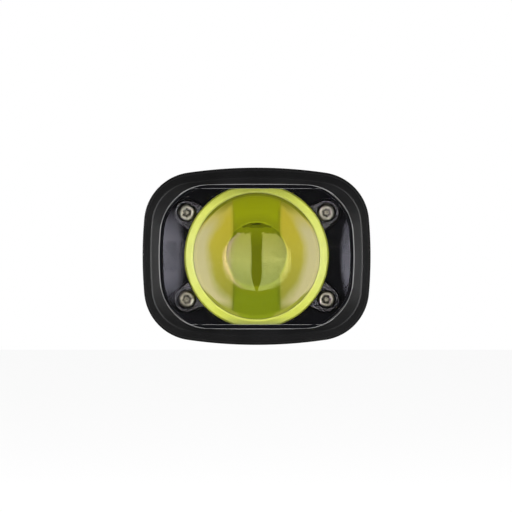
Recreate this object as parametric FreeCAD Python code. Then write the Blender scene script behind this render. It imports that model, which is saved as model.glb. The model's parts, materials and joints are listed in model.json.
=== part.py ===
import FreeCAD, Part
import math
import os

# Fog light: a small LED projector pod on a U bracket, in millimetres.
# X runs to the right, Y from the front of the lamp to its back, Z up. The origin is the centre of
# the bracket's mounting hole, on the rear face of its base. Inside the lamp a place is given by its
# depth, which is measured backwards from the bezel's crest.

Vector = FreeCAD.Vector

# ---- lens: it drives the size of what holds it and of the window in front of it ----
LENS_FACE_R = 25.0
LENS_CLEAR_R = 18.95
LENS_LEDGE = 1.05           # the flat rim round the lens's face
LENS_EDGE = 2.0
LENS_GAP = 0.8              # from the cover's flat rear face to the lens
LENS_SIDE_GAP = 0.15

# ---- window, cover and bezel outlines (the radii of their arcs, and the rims between them) ----
WINDOW_BESIDE_RING = 7.55   # how far the window reaches past the lens ring at the sides
WINDOW_OVER_RING = -0.05    # above and below, its edge just covers the ring
WINDOW_TOP_R = 1500.0
WINDOW_SIDE_R = 90.0
WINDOW_CORNER_R = 14.9
COVER_LEDGE_SIDE = 2.6      # how far the cover's flange reaches behind the bezel
COVER_LEDGE_TOP = 2.6
COVER_CORNER_R = 22.0
BEZEL_RIM_SIDE = 2.7        # from the cover's flange to the bezel's outline
BEZEL_RIM_TOP = 2.6
BEZEL_TOP_R = 144.0
BEZEL_SIDE_R = 129.0
BEZEL_CORNER_R = 15.5

# ---- bezel ----
BEZEL_DEPTH = 10.0
CREST_INSET = 2.6
CREST_INSET_TOP = 3.0
CREST_ROUND = 0.35
WALL_INSET = 0.9            # inset of the flank part of the way down
WALL_INSET_DEPTH = 4.0
SKIRT_INSET = 0.3
SKIRT_DEPTH = 0.8
LIP_DEPTH = 1.6
LIP_THICK = 1.3

# ---- cover and gasket ----
COVER_APEX = 1.2
COVER_DOME_R = 600.0
COVER_FLANGE = 2.0
COVER_EDGE_R = 0.45
COVER_MOAT = 0.62           # between the raised window and the bezel's edge
FIT_GAP = 0.15
GASKET_THICK = 1.2

# ---- housing ----
SPIGOT_WALL = 1.1
TUB_WALL = 1.7
FLANGE_THICK = 3.5
FLANGE_INSET = 0.3
CHAMBER_FLOOR_THICK = 2.0
BORE_GAP = 0.45             # round the barrel
CORE_WALL = 1.7
CORE_SIDE_WALL = 5.5        # thick enough for the pivot bolts
CORE_ROUND = 4.0
TUB_ROUND = 1.2
REAR_WALL = 3.5
REAR_FIN = 9.0
FIN_THICK = 1.6
FIN_COUNT = 11
FIN_FRONT_RISE = 3.4
FIN_REAR_RISE = 1.6
FIN_TIP_R = 0.55
FIN_SWING_RISE = 2.6        # how far the fins' rear corners, arcs about the pivot, clear the core
RIB_HALF_W = 0.8
RIB_PITCH = 3.5
RIB_COUNT = 3
RIB_FROM_PAD = 2.6          # from the pivot pad's edge to the first rib
RIB_END_GAP = 3.0
PILLAR_R = 2.2
PILLAR_ANGLES = (60.0, 180.0, 300.0)

# ---- lens holder ----
RING_WALL = 1.25            # outside the thread
RING_BORE_GAP = 0.1
RING_LIP = 1.2
RING_CHAMFER = 0.4
RING_GAP = 0.3              # all round the ring
SEAL_WALL = 1.3
SEAL_THICK = 0.7
THREAD_WALL = 0.35          # from the lens's pocket in the ring to the thread
BARREL_FLANGE = 1.7
BARREL_SHOULDER = 1.65      # from the thread in to the barrel's outside
BARREL_STEP_IN = 4.45       # from the front room's outside to the rear room's
BARREL_FRONT_WALL = 0.65
BARREL_WALL = 1.7
BARREL_LENGTH = 14.4        # from the flange to the rear wall
BARREL_TAPER_START = 5.4
BARREL_TAPER = 5.0
BARREL_REAR_WALL = 2.0
BARREL_STEPS = 4
CHANNEL_HALF_W = 3.9
CHANNEL_DEPTH = 0.8
CHEEK_RISE = 5.0
RECESS_R = 5.2              # round recess in the barrel's rear wall
RECESS_DEPTH = 1.3
SLOT_SILL = 4.4             # the light comes through the recess's top, above this height
CUTOFF_HEIGHT = 4.6         # the shield's edge, which cuts off the top of the beam
THREAD_GAP = 0.05

# ---- carrier with its four ears ----
CARRIER_THICK = 1.8
CARRIER_INSET = 0.75        # from the ring's outside
CARRIER_BORE_GAP = 0.1
EAR_REACH = 3.03            # from the ring's outside to an ear's screw
EAR_ANGLE = 31.8            # of an ear's screw above or below the level
EAR_R = 4.0
EAR_ROOT_HALF_W = 4.7
EAR_HEIGHT = 4.0
EAR_CHAMFER = 0.35
EAR_SINK_R = 3.35
EAR_SINK_DEPTH = 1.2

# ---- inner trim ----
TRIM_WALL = 0.8
TRIM_FLOOR = 1.2
TRIM_FRONT_GAP = 0.5

# ---- light source ----
SHIELD_THICK = 0.5
SHIELD_INSET = 1.0
REFLECTOR_FLANGE = 1.0
REFLECTOR_FLANGE_INSET = 0.8
REFLECTOR_MOUTH_R = 7.2
REFLECTOR_THROAT_R = 2.7
REFLECTOR_LENGTH = 5.0
REFLECTOR_WALL = 0.8
BOWL_MIDDLE = 52.0          # where the bowl's arc passes half way, as an angle of a quarter ellipse
LED_BOARD_R = 11.0
LED_BOARD_THICK = 1.0
LED_NOTCH_R = 1.5
LED_NOTCH_COUNT = 6
LED_SIZE = 3.5
LED_HEIGHT = 0.8
LED_DOME_R = 1.4
LED_STANDOFF = 1.0          # from the reflector's throat to the board
PAD_THICK = 0.5

# ---- driver board ----
BOARD_GAP = 0.3             # round the board
BOARD_BORE_GAP = 0.5        # round the reflector
BOARD_THICK = 1.6
BOARD_LIFT = 3.0            # from the bore's floor to the board
CAPACITOR_R = 2.0
CAPACITOR_HEIGHT = 6.0
CAPACITOR_ANGLES = (88.0, 112.0)
INDUCTOR_R = 2.1
INDUCTOR_HEIGHT = 4.5
INDUCTOR_FLANGE = 0.8
CHIP_SIZE = 3.4
CHIP_HEIGHT = 1.1
CHIP_ANGLES = (140.0, 215.0, 240.0)
LED_LEAD_R = 0.5
LED_LEAD_X = 2.5
LED_LEAD_EDGE = 1.3         # from the board's bore to a lead

# ---- inlet: a sealed two-way receptacle in the underside ----
INLET_FROM_PIVOT = 2.7      # how far in front of the pivot
INLET_PAD = 1.4
INLET_PAD_RIM = 0.4         # of the pad round the flange
INLET_FLANGE = 2.0
INLET_FLANGE_RIM = 0.3      # of the flange round the seal, in front and behind
INLET_EAR = 2.4             # from the seal to a screw, and on to the flange's end
INLET_NOZZLE = 2.0
INLET_NOZZLE_WALL = 1.2
INLET_BODY_R = 5.2
INLET_WALL = 0.8
INLET_SOCKET_DEPTH = 8.0
INLET_BASE = 1.2
INLET_LUG_RISE = 0.7        # bayonet lugs on the nozzle, for the plug's locking ring
INLET_LUG_HALF_W = 1.3
INLET_LUG_HEIGHT = 0.9
INLET_KEY_HALF_W = 0.6      # key rib inside the socket
INLET_KEY_RISE = 0.5
INLET_PIN_R = 0.6
INLET_PIN_X = 1.7
INLET_PIN_LENGTH = 3.4
INLET_SEAL_WALL = 1.2
INLET_SEAL_THICK = 1.0
LEAD_R = 0.55
LEAD_RISE = 0.2
LEAD_BEND_R = 1.2

# ---- vent in the tub's underside ----
VENT_FROM_FLANGE = 1.1
VENT_CAP_R = 3.4
VENT_CAP_THICK = 1.2
VENT_STEM_R = 1.6
VENT_BORE_R = 0.9
VENT_NOTCH_R = 0.5
VENT_NOTCH_COUNT = 8
VENT_MEMBRANE_THICK = 0.25

# ---- bracket and pivot ----
ARM_THICK = 2.5
ARM_END_R = 8.0
ARM_FRONT_GAP = 3.4
BASE_HALF_H = 10.0
BASE_GAP = 2.7              # from the swinging fins to the base
BEND_R = 3.0
BRACKET_EDGE_R = 0.4
PAD_RISE = 0.6
PAD_R = 8.0
PIVOT_GAP = 0.2
PIVOT_BORE_GAP = 0.08
THRUST_WASHER_THICK = 0.8
THRUST_WASHER_R = 7.5
LOCK_WASHER_THICK = 1.0
LOCK_WASHER_R = 5.0
MOUNT_HOLE_R = 4.2
SLOT_X = 17.0
SLOT_HALF_W = 3.2
SLOT_LENGTH = 12.0

# ---- fasteners: radius of the shank, radius and height of the head, corner radius of the hexagon ----
M6_BOLT = {"r": 3.0, "head_r": 5.25, "head_h": 3.3, "key_r": 2.0}
M3_BUTTON = {"r": 1.5, "head_r": 2.85, "head_h": 1.65, "key_r": 1.05}
M25_CAP = {"r": 1.25, "head_r": 2.25, "head_h": 2.5, "key_r": 1.0}
M2_PAN = {"r": 1.0, "head_r": 1.9, "head_h": 1.2, "key_r": 0.7}
HEAD_ROUND = 0.45           # as a share of the head's height
KEY_DEPTH = 0.5
PIVOT_ENGAGE = 5.0
BEZEL_ENGAGE = 4.5
CARRIER_ENGAGE = 5.5
SMALL_ENGAGE = 2.5
HOLE_EXTRA = 0.4            # how much deeper a tapped hole is than its screw
CLEAR_GAP = 0.15            # a screw in its clearance hole
SINK_GAP = 0.25             # a head in its counterbore

# ---- radii about the lens axis, worked out from the sizes above ----
LENS_EDGE_R = LENS_CLEAR_R + LENS_LEDGE
POCKET_R = LENS_EDGE_R + LENS_SIDE_GAP
BARREL_THREAD_R = POCKET_R + THREAD_WALL
RING_R = BARREL_THREAD_R + RING_WALL
RING_BORE_R = LENS_CLEAR_R + RING_BORE_GAP
CARRIER_R = RING_R - CARRIER_INSET
BARREL_R = BARREL_THREAD_R - BARREL_SHOULDER
BARREL_MOUTH_R = BARREL_R - BARREL_FRONT_WALL
BARREL_REAR_R = BARREL_R - BARREL_STEP_IN
BORE_R = BARREL_R + BORE_GAP
BOARD_R = BORE_R - BOARD_GAP
PART_CIRCLE_R = (BARREL_REAR_R + BORE_R) / 2.0
BOARD_BORE_R = REFLECTOR_MOUTH_R + REFLECTOR_WALL + BOARD_BORE_GAP
LED_LEAD_CIRCLE_R = BOARD_BORE_R + LED_LEAD_EDGE
SHIELD_R = BARREL_REAR_R - SHIELD_INSET
REFLECTOR_FLANGE_R = SHIELD_R - REFLECTOR_FLANGE_INSET
EAR_CIRCLE_R = RING_R + EAR_REACH
EAR_X = EAR_CIRCLE_R * math.cos(math.radians(EAR_ANGLE))
EAR_Z = EAR_CIRCLE_R * math.sin(math.radians(EAR_ANGLE))

# ---- places along the depth ----
FLANGE_FRONT = LIP_DEPTH + LIP_THICK
GASKET_FRONT = FLANGE_FRONT + COVER_FLANGE
SPIGOT_FRONT = GASKET_FRONT + GASKET_THICK
LENS_SAG = LENS_FACE_R - math.sqrt(LENS_FACE_R ** 2 - LENS_CLEAR_R ** 2)
LENS_APEX = GASKET_FRONT + LENS_GAP
LENS_FRONT = LENS_APEX + LENS_SAG
LENS_REAR = LENS_FRONT + LENS_EDGE
RING_FRONT = LENS_FRONT - RING_LIP
BARREL_FRONT = LENS_REAR + SEAL_THICK
CARRIER_FRONT = BARREL_FRONT + BARREL_FLANGE
CHAMBER_FLOOR = CARRIER_FRONT + CARRIER_THICK
EAR_FRONT = CHAMBER_FLOOR - EAR_HEIGHT
TUB_REAR = CHAMBER_FLOOR + CHAMBER_FLOOR_THICK
BARREL_WALL_FRONT = BARREL_FRONT + BARREL_LENGTH
BARREL_REAR = BARREL_WALL_FRONT + BARREL_REAR_WALL
REFLECTOR_FRONT = BARREL_REAR + SHIELD_THICK
LED_BOARD_FRONT = REFLECTOR_FRONT + REFLECTOR_LENGTH + LED_STANDOFF
LED_BOARD_REAR = LED_BOARD_FRONT + LED_BOARD_THICK
BORE_FLOOR = LED_BOARD_REAR + PAD_THICK
BOARD_REAR = BORE_FLOOR - BOARD_LIFT
BOARD_FRONT = BOARD_REAR - BOARD_THICK
CORE_REAR = BORE_FLOOR + REAR_WALL
FIN_REAR = CORE_REAR + REAR_FIN
PIVOT_DEPTH = TUB_REAR + ARM_FRONT_GAP + ARM_END_R
INLET_DEPTH = PIVOT_DEPTH - INLET_FROM_PIVOT
FLANGE_REAR = BEZEL_DEPTH + FLANGE_THICK
VENT_DEPTH = FLANGE_REAR + VENT_FROM_FLANGE + VENT_CAP_R

# ---- places across the lamp ----
CORE_HALF_H = BORE_R + CORE_WALL
CORE_HALF_W = BORE_R + CORE_SIDE_WALL
PAD_X = CORE_HALF_W + PAD_RISE
ARM_INNER_X = PAD_X + PIVOT_GAP + THRUST_WASHER_THICK
ARM_OUTER_X = ARM_INNER_X + ARM_THICK
FIN_SWING_R = math.hypot(CORE_REAR - PIVOT_DEPTH, CORE_HALF_H) + FIN_SWING_RISE
PIVOT_Y = -(ARM_THICK + BASE_GAP + FIN_SWING_R)
INLET_FACE_Z = -(CORE_HALF_H + INLET_PAD)
INLET_FLANGE_Z = INLET_FACE_Z - INLET_FLANGE
INLET_MOUTH_Z = INLET_FLANGE_Z - INLET_NOZZLE
INLET_BASE_Z = INLET_MOUTH_Z + INLET_SOCKET_DEPTH
INLET_TOP_Z = INLET_BASE_Z + INLET_BASE
INLET_SOCKET_R = INLET_BODY_R - INLET_WALL
INLET_NOZZLE_R = INLET_SOCKET_R + INLET_NOZZLE_WALL
INLET_SEAL_R = INLET_BODY_R + INLET_SEAL_WALL
INLET_SCREW_X = INLET_SEAL_R + INLET_EAR
INLET_FLANGE_HALF_W = INLET_SCREW_X + INLET_EAR
INLET_FLANGE_HALF_L = INLET_SEAL_R + INLET_FLANGE_RIM
INLET_PAD_HALF_W = INLET_FLANGE_HALF_W + INLET_PAD_RIM
INLET_PAD_HALF_L = INLET_FLANGE_HALF_L + INLET_PAD_RIM
SHIELD_SCREW_X = (REFLECTOR_MOUTH_R + REFLECTOR_WALL + REFLECTOR_FLANGE_R) / 2.0
LED_SCREW_X = LED_BOARD_R - M2_PAN["head_r"] - HOLE_EXTRA


def at_depth(depth):
    """Y of a place inside the lamp, from its depth behind the bezel's crest."""
    return PIVOT_Y + depth - PIVOT_DEPTH


def point(x, depth, z):
    return Vector(x, at_depth(depth), z)


class Outline:
    """A closed outline of eight arcs that meet tangentially, alike on both sides of both axes."""

    def __init__(self, half_w, half_h, top_r, side_r, corner_r):
        self.sizes = (half_w, half_h, top_r, side_r, corner_r)
        top_z = half_h - top_r
        side_x = half_w - side_r
        reach_top = top_r - corner_r
        reach_side = side_r - corner_r
        apart = math.hypot(side_x, top_z)
        along = (reach_top ** 2 - reach_side ** 2 + apart ** 2) / (2.0 * apart)
        across = math.sqrt(reach_top ** 2 - along ** 2)
        ux, uz = side_x / apart, -top_z / apart
        self.corner = (along * ux + across * uz, top_z + along * uz - across * ux)
        cx, cz = self.corner
        self.top_end = (cx * top_r / reach_top, top_z + (cz - top_z) * top_r / reach_top)
        self.side_end = (side_x + (cx - side_x) * side_r / reach_side, cz * side_r / reach_side)
        bend = math.atan2(self.top_end[1] - cz, self.top_end[0] - cx)
        bend += math.atan2(self.side_end[1] - cz, self.side_end[0] - cx)
        self.corner_mid = (cx + corner_r * math.cos(bend / 2.0), cz + corner_r * math.sin(bend / 2.0))

    def grown(self, by):
        return Outline(*(size + by for size in self.sizes))

    def wire(self, depth):
        half_w, half_h = self.sizes[0], self.sizes[1]
        quarters = ((1, 1), (1, -1), (-1, -1), (-1, 1))
        edges = []
        for number, (sx, sz) in enumerate(quarters):
            top = (sx * self.top_end[0], sz * self.top_end[1])
            mid = (sx * self.corner_mid[0], sz * self.corner_mid[1])
            side = (sx * self.side_end[0], sz * self.side_end[1])
            nx, nz = quarters[(number + 1) % 4]
            if sx == sz:
                edges.append(arc(top, mid, side, depth))
                after = (nx * self.side_end[0], nz * self.side_end[1])
                edges.append(arc(side, (sx * half_w, 0.0), after, depth))
            else:
                edges.append(arc(side, mid, top, depth))
                after = (nx * self.top_end[0], nz * self.top_end[1])
                edges.append(arc(top, (0.0, sz * half_h), after, depth))
        return Part.Wire(edges)


def arc(start, middle, end, depth):
    """Edge through three (x, z) points at one depth."""
    places = [point(x, depth, z) for x, z in (start, middle, end)]
    return Part.Arc(*places).toShape()


WINDOW = Outline(RING_R + WINDOW_BESIDE_RING, RING_R + WINDOW_OVER_RING,
                 WINDOW_TOP_R, WINDOW_SIDE_R, WINDOW_CORNER_R)
SEAT = Outline(WINDOW.sizes[0] + COVER_LEDGE_SIDE, WINDOW.sizes[1] + COVER_LEDGE_TOP,
               WINDOW_TOP_R, WINDOW_SIDE_R, COVER_CORNER_R)
BEZEL = Outline(SEAT.sizes[0] + BEZEL_RIM_SIDE, SEAT.sizes[1] + BEZEL_RIM_TOP,
                BEZEL_TOP_R, BEZEL_SIDE_R, BEZEL_CORNER_R)
CHAMBER = SEAT.grown(-SPIGOT_WALL)
BEZEL_SCREW_X = (BEZEL.corner_mid[0] + SEAT.corner_mid[0]) / 2.0
BEZEL_SCREW_Z = (BEZEL.corner_mid[1] + SEAT.corner_mid[1]) / 2.0


# ---- building blocks ----

def prism(outline, front, rear):
    return Part.Face(outline.wire(front)).extrude(Vector(0, rear - front, 0))


def tapered(front_outline, front, rear_outline, rear):
    return Part.makeLoft([front_outline.wire(front), rear_outline.wire(rear)], True, True)


def disc(radius, front, rear, x=0.0, z=0.0):
    """Cylinder along the depth."""
    return Part.makeCylinder(radius, rear - front, point(x, front, z), Vector(0, 1, 0))


def tube(outer_r, inner_r, front, rear, x=0.0, z=0.0):
    return disc(outer_r, front, rear, x, z).cut(disc(inner_r, front, rear, x, z))


def rod(radius, start, end):
    """Cylinder between two points."""
    return Part.makeCylinder(radius, (end - start).Length, start, end - start)


def block(x0, x1, front, rear, z0, z1):
    return Part.makeBox(x1 - x0, rear - front, z1 - z0, point(x0, front, z0))


def turned(profile):
    """Solid of revolution about the lens axis, from a closed list of (radius, depth)."""
    places = [point(radius, depth, 0.0) for radius, depth in profile]
    face = Part.Face(Part.makePolygon(places + places[:1]))
    return face.revolve(Vector(0, 0, 0), Vector(0, 1, 0), 360)


def on_circle(radius, degrees):
    turn = math.radians(degrees)
    return radius * math.cos(turn), radius * math.sin(turn)


def four_ways(x, z):
    return [(x, z), (x, -z), (-x, -z), (-x, z)]


def joined(shapes):
    return shapes[0].multiFuse(shapes[1:]).removeSplitter()


def edges_at_depth(shape, depth):
    """Edges that lie wholly at one depth."""
    y = at_depth(depth)
    return [edge for edge in shape.Edges
            if abs(edge.BoundBox.YMin - y) < 1e-4 and abs(edge.BoundBox.YMax - y) < 1e-4]


def hexagon(corner_r, z0, z1):
    """Six-sided prism along Z."""
    ring = [on_circle(corner_r, 60.0 * number) for number in range(7)]
    face = Part.Face(Part.makePolygon([Vector(x, y, z0) for x, y in ring]))
    return face.extrude(Vector(0, 0, z1 - z0))


def screw(size, shank, place, way):
    """Screw whose head stands on place and points the way; the shank runs back from there."""
    head = Part.makeCylinder(size["head_r"], size["head_h"])
    rim = [edge for edge in head.Edges if abs(edge.BoundBox.ZMin - size["head_h"]) < 1e-6]
    head = head.makeFillet(HEAD_ROUND * size["head_h"], rim)
    key = hexagon(size["key_r"], (1.0 - KEY_DEPTH) * size["head_h"], size["head_h"])
    stem = Part.makeCylinder(size["r"], shank, Vector(0, 0, -shank))
    solid = head.cut(key).fuse(stem).removeSplitter()
    solid.Placement = FreeCAD.Placement(place, FreeCAD.Rotation(Vector(0, 0, 1), way))
    return solid


def screw_hole(size, place, way, length):
    """Tapped hole into the metal behind place."""
    return rod(size["r"] + THREAD_GAP, place, place - way * length)


# ---- front of the lamp ----

def front_bezel():
    skirt_front = BEZEL_DEPTH - SKIRT_DEPTH
    inset = BEZEL.grown(-CREST_INSET).sizes
    crest = Outline(inset[0], BEZEL.sizes[1] - CREST_INSET_TOP, *inset[2:])
    flank = BEZEL.grown(-WALL_INSET)
    skirt = BEZEL.grown(-SKIRT_INSET)
    outside = joined([
        prism(BEZEL, skirt_front, BEZEL_DEPTH),
        tapered(flank, WALL_INSET_DEPTH, skirt, skirt_front),
        tapered(crest, 0.0, flank, WALL_INSET_DEPTH),
    ])
    body = outside.cut(tapered(crest, 0.0, WINDOW, LIP_DEPTH))
    body = body.cut(prism(WINDOW, LIP_DEPTH, FLANGE_FRONT))
    body = body.makeFillet(CREST_ROUND, edges_at_depth(body, 0.0))
    body = body.cut(prism(SEAT.grown(FIT_GAP), FLANGE_FRONT, BEZEL_DEPTH))
    for x, z in four_ways(BEZEL_SCREW_X, BEZEL_SCREW_Z):
        face = point(x, BEZEL_DEPTH, z)
        body = body.cut(screw_hole(M25_CAP, face, Vector(0, 1, 0), BEZEL_ENGAGE + HOLE_EXTRA))
    return body


def cover_lens():
    """Clear plate with a flat back. Its window stands up from the flange and is slightly domed."""
    dome = Part.makeSphere(COVER_DOME_R, point(0.0, COVER_APEX + COVER_DOME_R, 0.0))
    window = prism(WINDOW.grown(-COVER_MOAT), 0.0, FLANGE_FRONT).common(dome)
    front = [face for face in window.Faces if isinstance(face.Surface, Part.Sphere)]
    window = window.makeFillet(COVER_EDGE_R, front[0].Edges)
    return window.fuse(prism(SEAT, FLANGE_FRONT, GASKET_FRONT)).removeSplitter()


def cover_gasket():
    return prism(SEAT, GASKET_FRONT, SPIGOT_FRONT).cut(prism(CHAMBER, GASKET_FRONT, SPIGOT_FRONT))


def inner_trim():
    front = SPIGOT_FRONT + TRIM_FRONT_GAP
    outside = CHAMBER.grown(-FIT_GAP)
    body = prism(outside, front, CHAMBER_FLOOR)
    body = body.cut(prism(outside.grown(-TRIM_WALL), front, CHAMBER_FLOOR - TRIM_FLOOR))
    body = body.cut(disc(RING_R + RING_GAP, front, CHAMBER_FLOOR))
    for x, z in four_ways(EAR_X, EAR_Z):
        body = body.cut(ear_prism(x, z, RING_GAP, EAR_FRONT, CHAMBER_FLOOR))
    low = Vector(0, at_depth(VENT_DEPTH), -CHAMBER.sizes[1] - TUB_WALL)
    return body.cut(rod(VENT_STEM_R, low, low + Vector(0, 0, CHAMBER.sizes[1] / 2.0)))


# ---- lens module ----

def lens_ring():
    return turned([
        (RING_BORE_R + RING_CHAMFER, RING_FRONT),
        (RING_R - RING_CHAMFER, RING_FRONT),
        (RING_R, RING_FRONT + RING_CHAMFER),
        (RING_R, CARRIER_FRONT),
        (BARREL_THREAD_R + THREAD_GAP, CARRIER_FRONT),
        (BARREL_THREAD_R + THREAD_GAP, BARREL_FRONT),
        (POCKET_R, BARREL_FRONT),
        (POCKET_R, LENS_FRONT),
        (RING_BORE_R, LENS_FRONT),
        (RING_BORE_R, RING_FRONT + RING_CHAMFER),
    ])


def projector_lens():
    apex = point(0.0, LENS_APEX, 0.0)
    centre = point(0.0, LENS_APEX + LENS_FACE_R, 0.0)
    half = 0.5 * math.asin(LENS_CLEAR_R / LENS_FACE_R)
    middle = centre + Vector(math.sin(half), -math.cos(half), 0) * LENS_FACE_R
    rim = point(LENS_CLEAR_R, LENS_FRONT, 0.0)
    edge_front = point(LENS_EDGE_R, LENS_FRONT, 0.0)
    edge_rear = point(LENS_EDGE_R, LENS_REAR, 0.0)
    middle_rear = point(0.0, LENS_REAR, 0.0)
    face = Part.Face(Part.Wire([
        Part.Arc(apex, middle, rim).toShape(),
        Part.makeLine(rim, edge_front),
        Part.makeLine(edge_front, edge_rear),
        Part.makeLine(edge_rear, middle_rear),
        Part.makeLine(middle_rear, apex),
    ]))
    return face.revolve(Vector(0, 0, 0), Vector(0, 1, 0), 360)


def lens_seal():
    return tube(LENS_EDGE_R - LENS_SIDE_GAP, LENS_EDGE_R - LENS_SIDE_GAP - SEAL_WALL, LENS_REAR, BARREL_FRONT)


def barrel_inner_r(step):
    """Radius of a step inside the barrel: the first is the mouth, the last the rear room."""
    last = BARREL_REAR_R - BARREL_WALL
    return BARREL_MOUTH_R + (last - BARREL_MOUTH_R) * step / BARREL_STEPS


def lens_barrel():
    taper_start = BARREL_FRONT + BARREL_TAPER_START
    outside = turned([
        (0.0, BARREL_FRONT),
        (BARREL_THREAD_R, BARREL_FRONT),
        (BARREL_THREAD_R, CARRIER_FRONT),
        (BARREL_R, CARRIER_FRONT),
        (BARREL_R, taper_start),
        (BARREL_REAR_R, taper_start + BARREL_TAPER),
        (BARREL_REAR_R, BARREL_REAR),
        (0.0, BARREL_REAR),
    ])
    step_length = (BARREL_TAPER_START + BARREL_TAPER) / (BARREL_STEPS + 1)
    for step in range(BARREL_STEPS + 1):
        last = step == BARREL_STEPS
        front = BARREL_FRONT + step * step_length
        rear = BARREL_WALL_FRONT if last else front + step_length
        outside = outside.cut(disc(barrel_inner_r(step), front, rear))
    body = outside.fuse(barrel_cheeks())
    room_r = barrel_inner_r(BARREL_STEPS)
    channel = block(-CHANNEL_HALF_W, CHANNEL_HALF_W, BARREL_WALL_FRONT,
                    BARREL_WALL_FRONT + CHANNEL_DEPTH, -room_r, room_r)
    body = body.cut(channel.common(disc(room_r, BARREL_WALL_FRONT, BARREL_REAR)))
    body = body.cut(disc(RECESS_R, BARREL_WALL_FRONT - CHEEK_RISE, BARREL_WALL_FRONT + RECESS_DEPTH))
    body = body.cut(light_slot(BARREL_WALL_FRONT, BARREL_REAR, SLOT_SILL))
    for side in (1, -1):
        face = point(side * SHIELD_SCREW_X, BARREL_REAR, 0.0)
        body = body.cut(screw_hole(M2_PAN, face, Vector(0, 1, 0), SMALL_ENGAGE + HOLE_EXTRA))
    return body.removeSplitter()


def light_slot(front, rear, sill):
    """Segment of the recess's circle above a sill."""
    above = block(-RECESS_R, RECESS_R, front, rear, sill, RECESS_R)
    return above.common(disc(RECESS_R, front, rear))


def barrel_cheeks():
    """Two slanted walls that flank the barrel's centre channel."""
    room_r = barrel_inner_r(BARREL_STEPS)
    cheeks = []
    for side in (1, -1):
        corners = [
            point(side * CHANNEL_HALF_W, BARREL_WALL_FRONT, -room_r),
            point(side * room_r, BARREL_WALL_FRONT, -room_r),
            point(side * room_r, BARREL_WALL_FRONT - CHEEK_RISE, -room_r),
        ]
        face = Part.Face(Part.makePolygon(corners + corners[:1]))
        wedge = face.extrude(Vector(0, 0, 2.0 * room_r))
        room = disc(room_r, BARREL_WALL_FRONT - CHEEK_RISE, BARREL_WALL_FRONT)
        cheeks.append(wedge.common(room))
    return cheeks


def ear_prism(x, z, grow, front, rear):
    """Ear round one screw: a round end, and flanks that widen towards the ring."""
    reach = math.hypot(x, z)
    ux, uz = x / reach, z / reach
    root = BARREL_R + BARREL_WALL
    end_half = EAR_R + grow
    root_half = EAR_ROOT_HALF_W + grow
    lean = math.asin((root_half - end_half) / (reach - root))
    forward = reach + end_half * math.sin(lean)
    shoulder = end_half * math.cos(lean)
    flat = [(root, -root_half), (root, root_half), (forward, shoulder), (forward, -shoulder)]
    corners = [point(ux * a - uz * b, front, uz * a + ux * b) for a, b in flat]
    web = Part.Face(Part.makePolygon(corners + corners[:1])).extrude(Vector(0, rear - front, 0))
    return web.fuse(disc(end_half, front, rear, x, z)).removeSplitter()


def lens_carrier():
    body = disc(CARRIER_R, CARRIER_FRONT, CHAMBER_FLOOR)
    under_ring = disc(RING_R + RING_GAP, EAR_FRONT, CARRIER_FRONT)
    ears = []
    for x, z in four_ways(EAR_X, EAR_Z):
        ear = ear_prism(x, z, 0.0, EAR_FRONT, CHAMBER_FLOOR)
        ear = ear.makeChamfer(EAR_CHAMFER, edges_at_depth(ear, EAR_FRONT))
        ears.append(ear.cut(under_ring))
    body = joined([body] + ears)
    body = body.cut(disc(BARREL_R + CARRIER_BORE_GAP, CARRIER_FRONT, CHAMBER_FLOOR))
    for x, z in four_ways(EAR_X, EAR_Z):
        body = body.cut(disc(EAR_SINK_R, EAR_FRONT, EAR_FRONT + EAR_SINK_DEPTH, x, z))
        body = body.cut(disc(M3_BUTTON["r"] + CLEAR_GAP, EAR_FRONT, CHAMBER_FLOOR, x, z))
    return body


def carrier_screws():
    shank = EAR_HEIGHT - EAR_SINK_DEPTH + CARRIER_ENGAGE
    seat = EAR_FRONT + EAR_SINK_DEPTH
    return [screw(M3_BUTTON, shank, point(x, seat, z), Vector(0, -1, 0)) for x, z in four_ways(EAR_X, EAR_Z)]


# ---- light source ----

def cutoff_shield():
    body = disc(SHIELD_R, BARREL_REAR, REFLECTOR_FRONT)
    body = body.cut(light_slot(BARREL_REAR, REFLECTOR_FRONT, CUTOFF_HEIGHT))
    for side in (1, -1):
        body = body.cut(disc(M2_PAN["r"] + CLEAR_GAP, BARREL_REAR, REFLECTOR_FRONT, side * SHIELD_SCREW_X))
    return body


def bowl_face(mouth_r, throat_r, front, rear):
    """Face between the lens axis and a quarter ellipse that is bent in at the throat."""
    mouth, throat = point(mouth_r, front, 0.0), point(throat_r, rear, 0.0)
    turn = math.radians(BOWL_MIDDLE)
    middle = point(throat_r + (mouth_r - throat_r) * math.sin(turn),
                   front + (rear - front) * math.cos(turn), 0.0)
    wall = Part.Arc(mouth, middle, throat).toShape()
    back = Part.makePolygon([throat, point(0.0, rear, 0.0), point(0.0, front, 0.0), mouth])
    return Part.Face(Part.Wire([wall] + back.Edges))


def reflector():
    rear = REFLECTOR_FRONT + REFLECTOR_LENGTH
    flange_rear = REFLECTOR_FRONT + REFLECTOR_FLANGE
    inside = (REFLECTOR_MOUTH_R, REFLECTOR_THROAT_R, REFLECTOR_FRONT, rear)
    outside = (REFLECTOR_MOUTH_R + REFLECTOR_WALL, REFLECTOR_THROAT_R + REFLECTOR_WALL, REFLECTOR_FRONT, rear)
    bowls = [bowl_face(*sizes).revolve(Vector(0, 0, 0), Vector(0, 1, 0), 360) for sizes in (outside, inside)]
    body = bowls[0].fuse(disc(REFLECTOR_FLANGE_R, REFLECTOR_FRONT, flange_rear)).cut(bowls[1])
    for side in (1, -1):
        body = body.cut(disc(M2_PAN["r"] + CLEAR_GAP, REFLECTOR_FRONT, flange_rear, side * SHIELD_SCREW_X))
    return body.removeSplitter()


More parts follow.
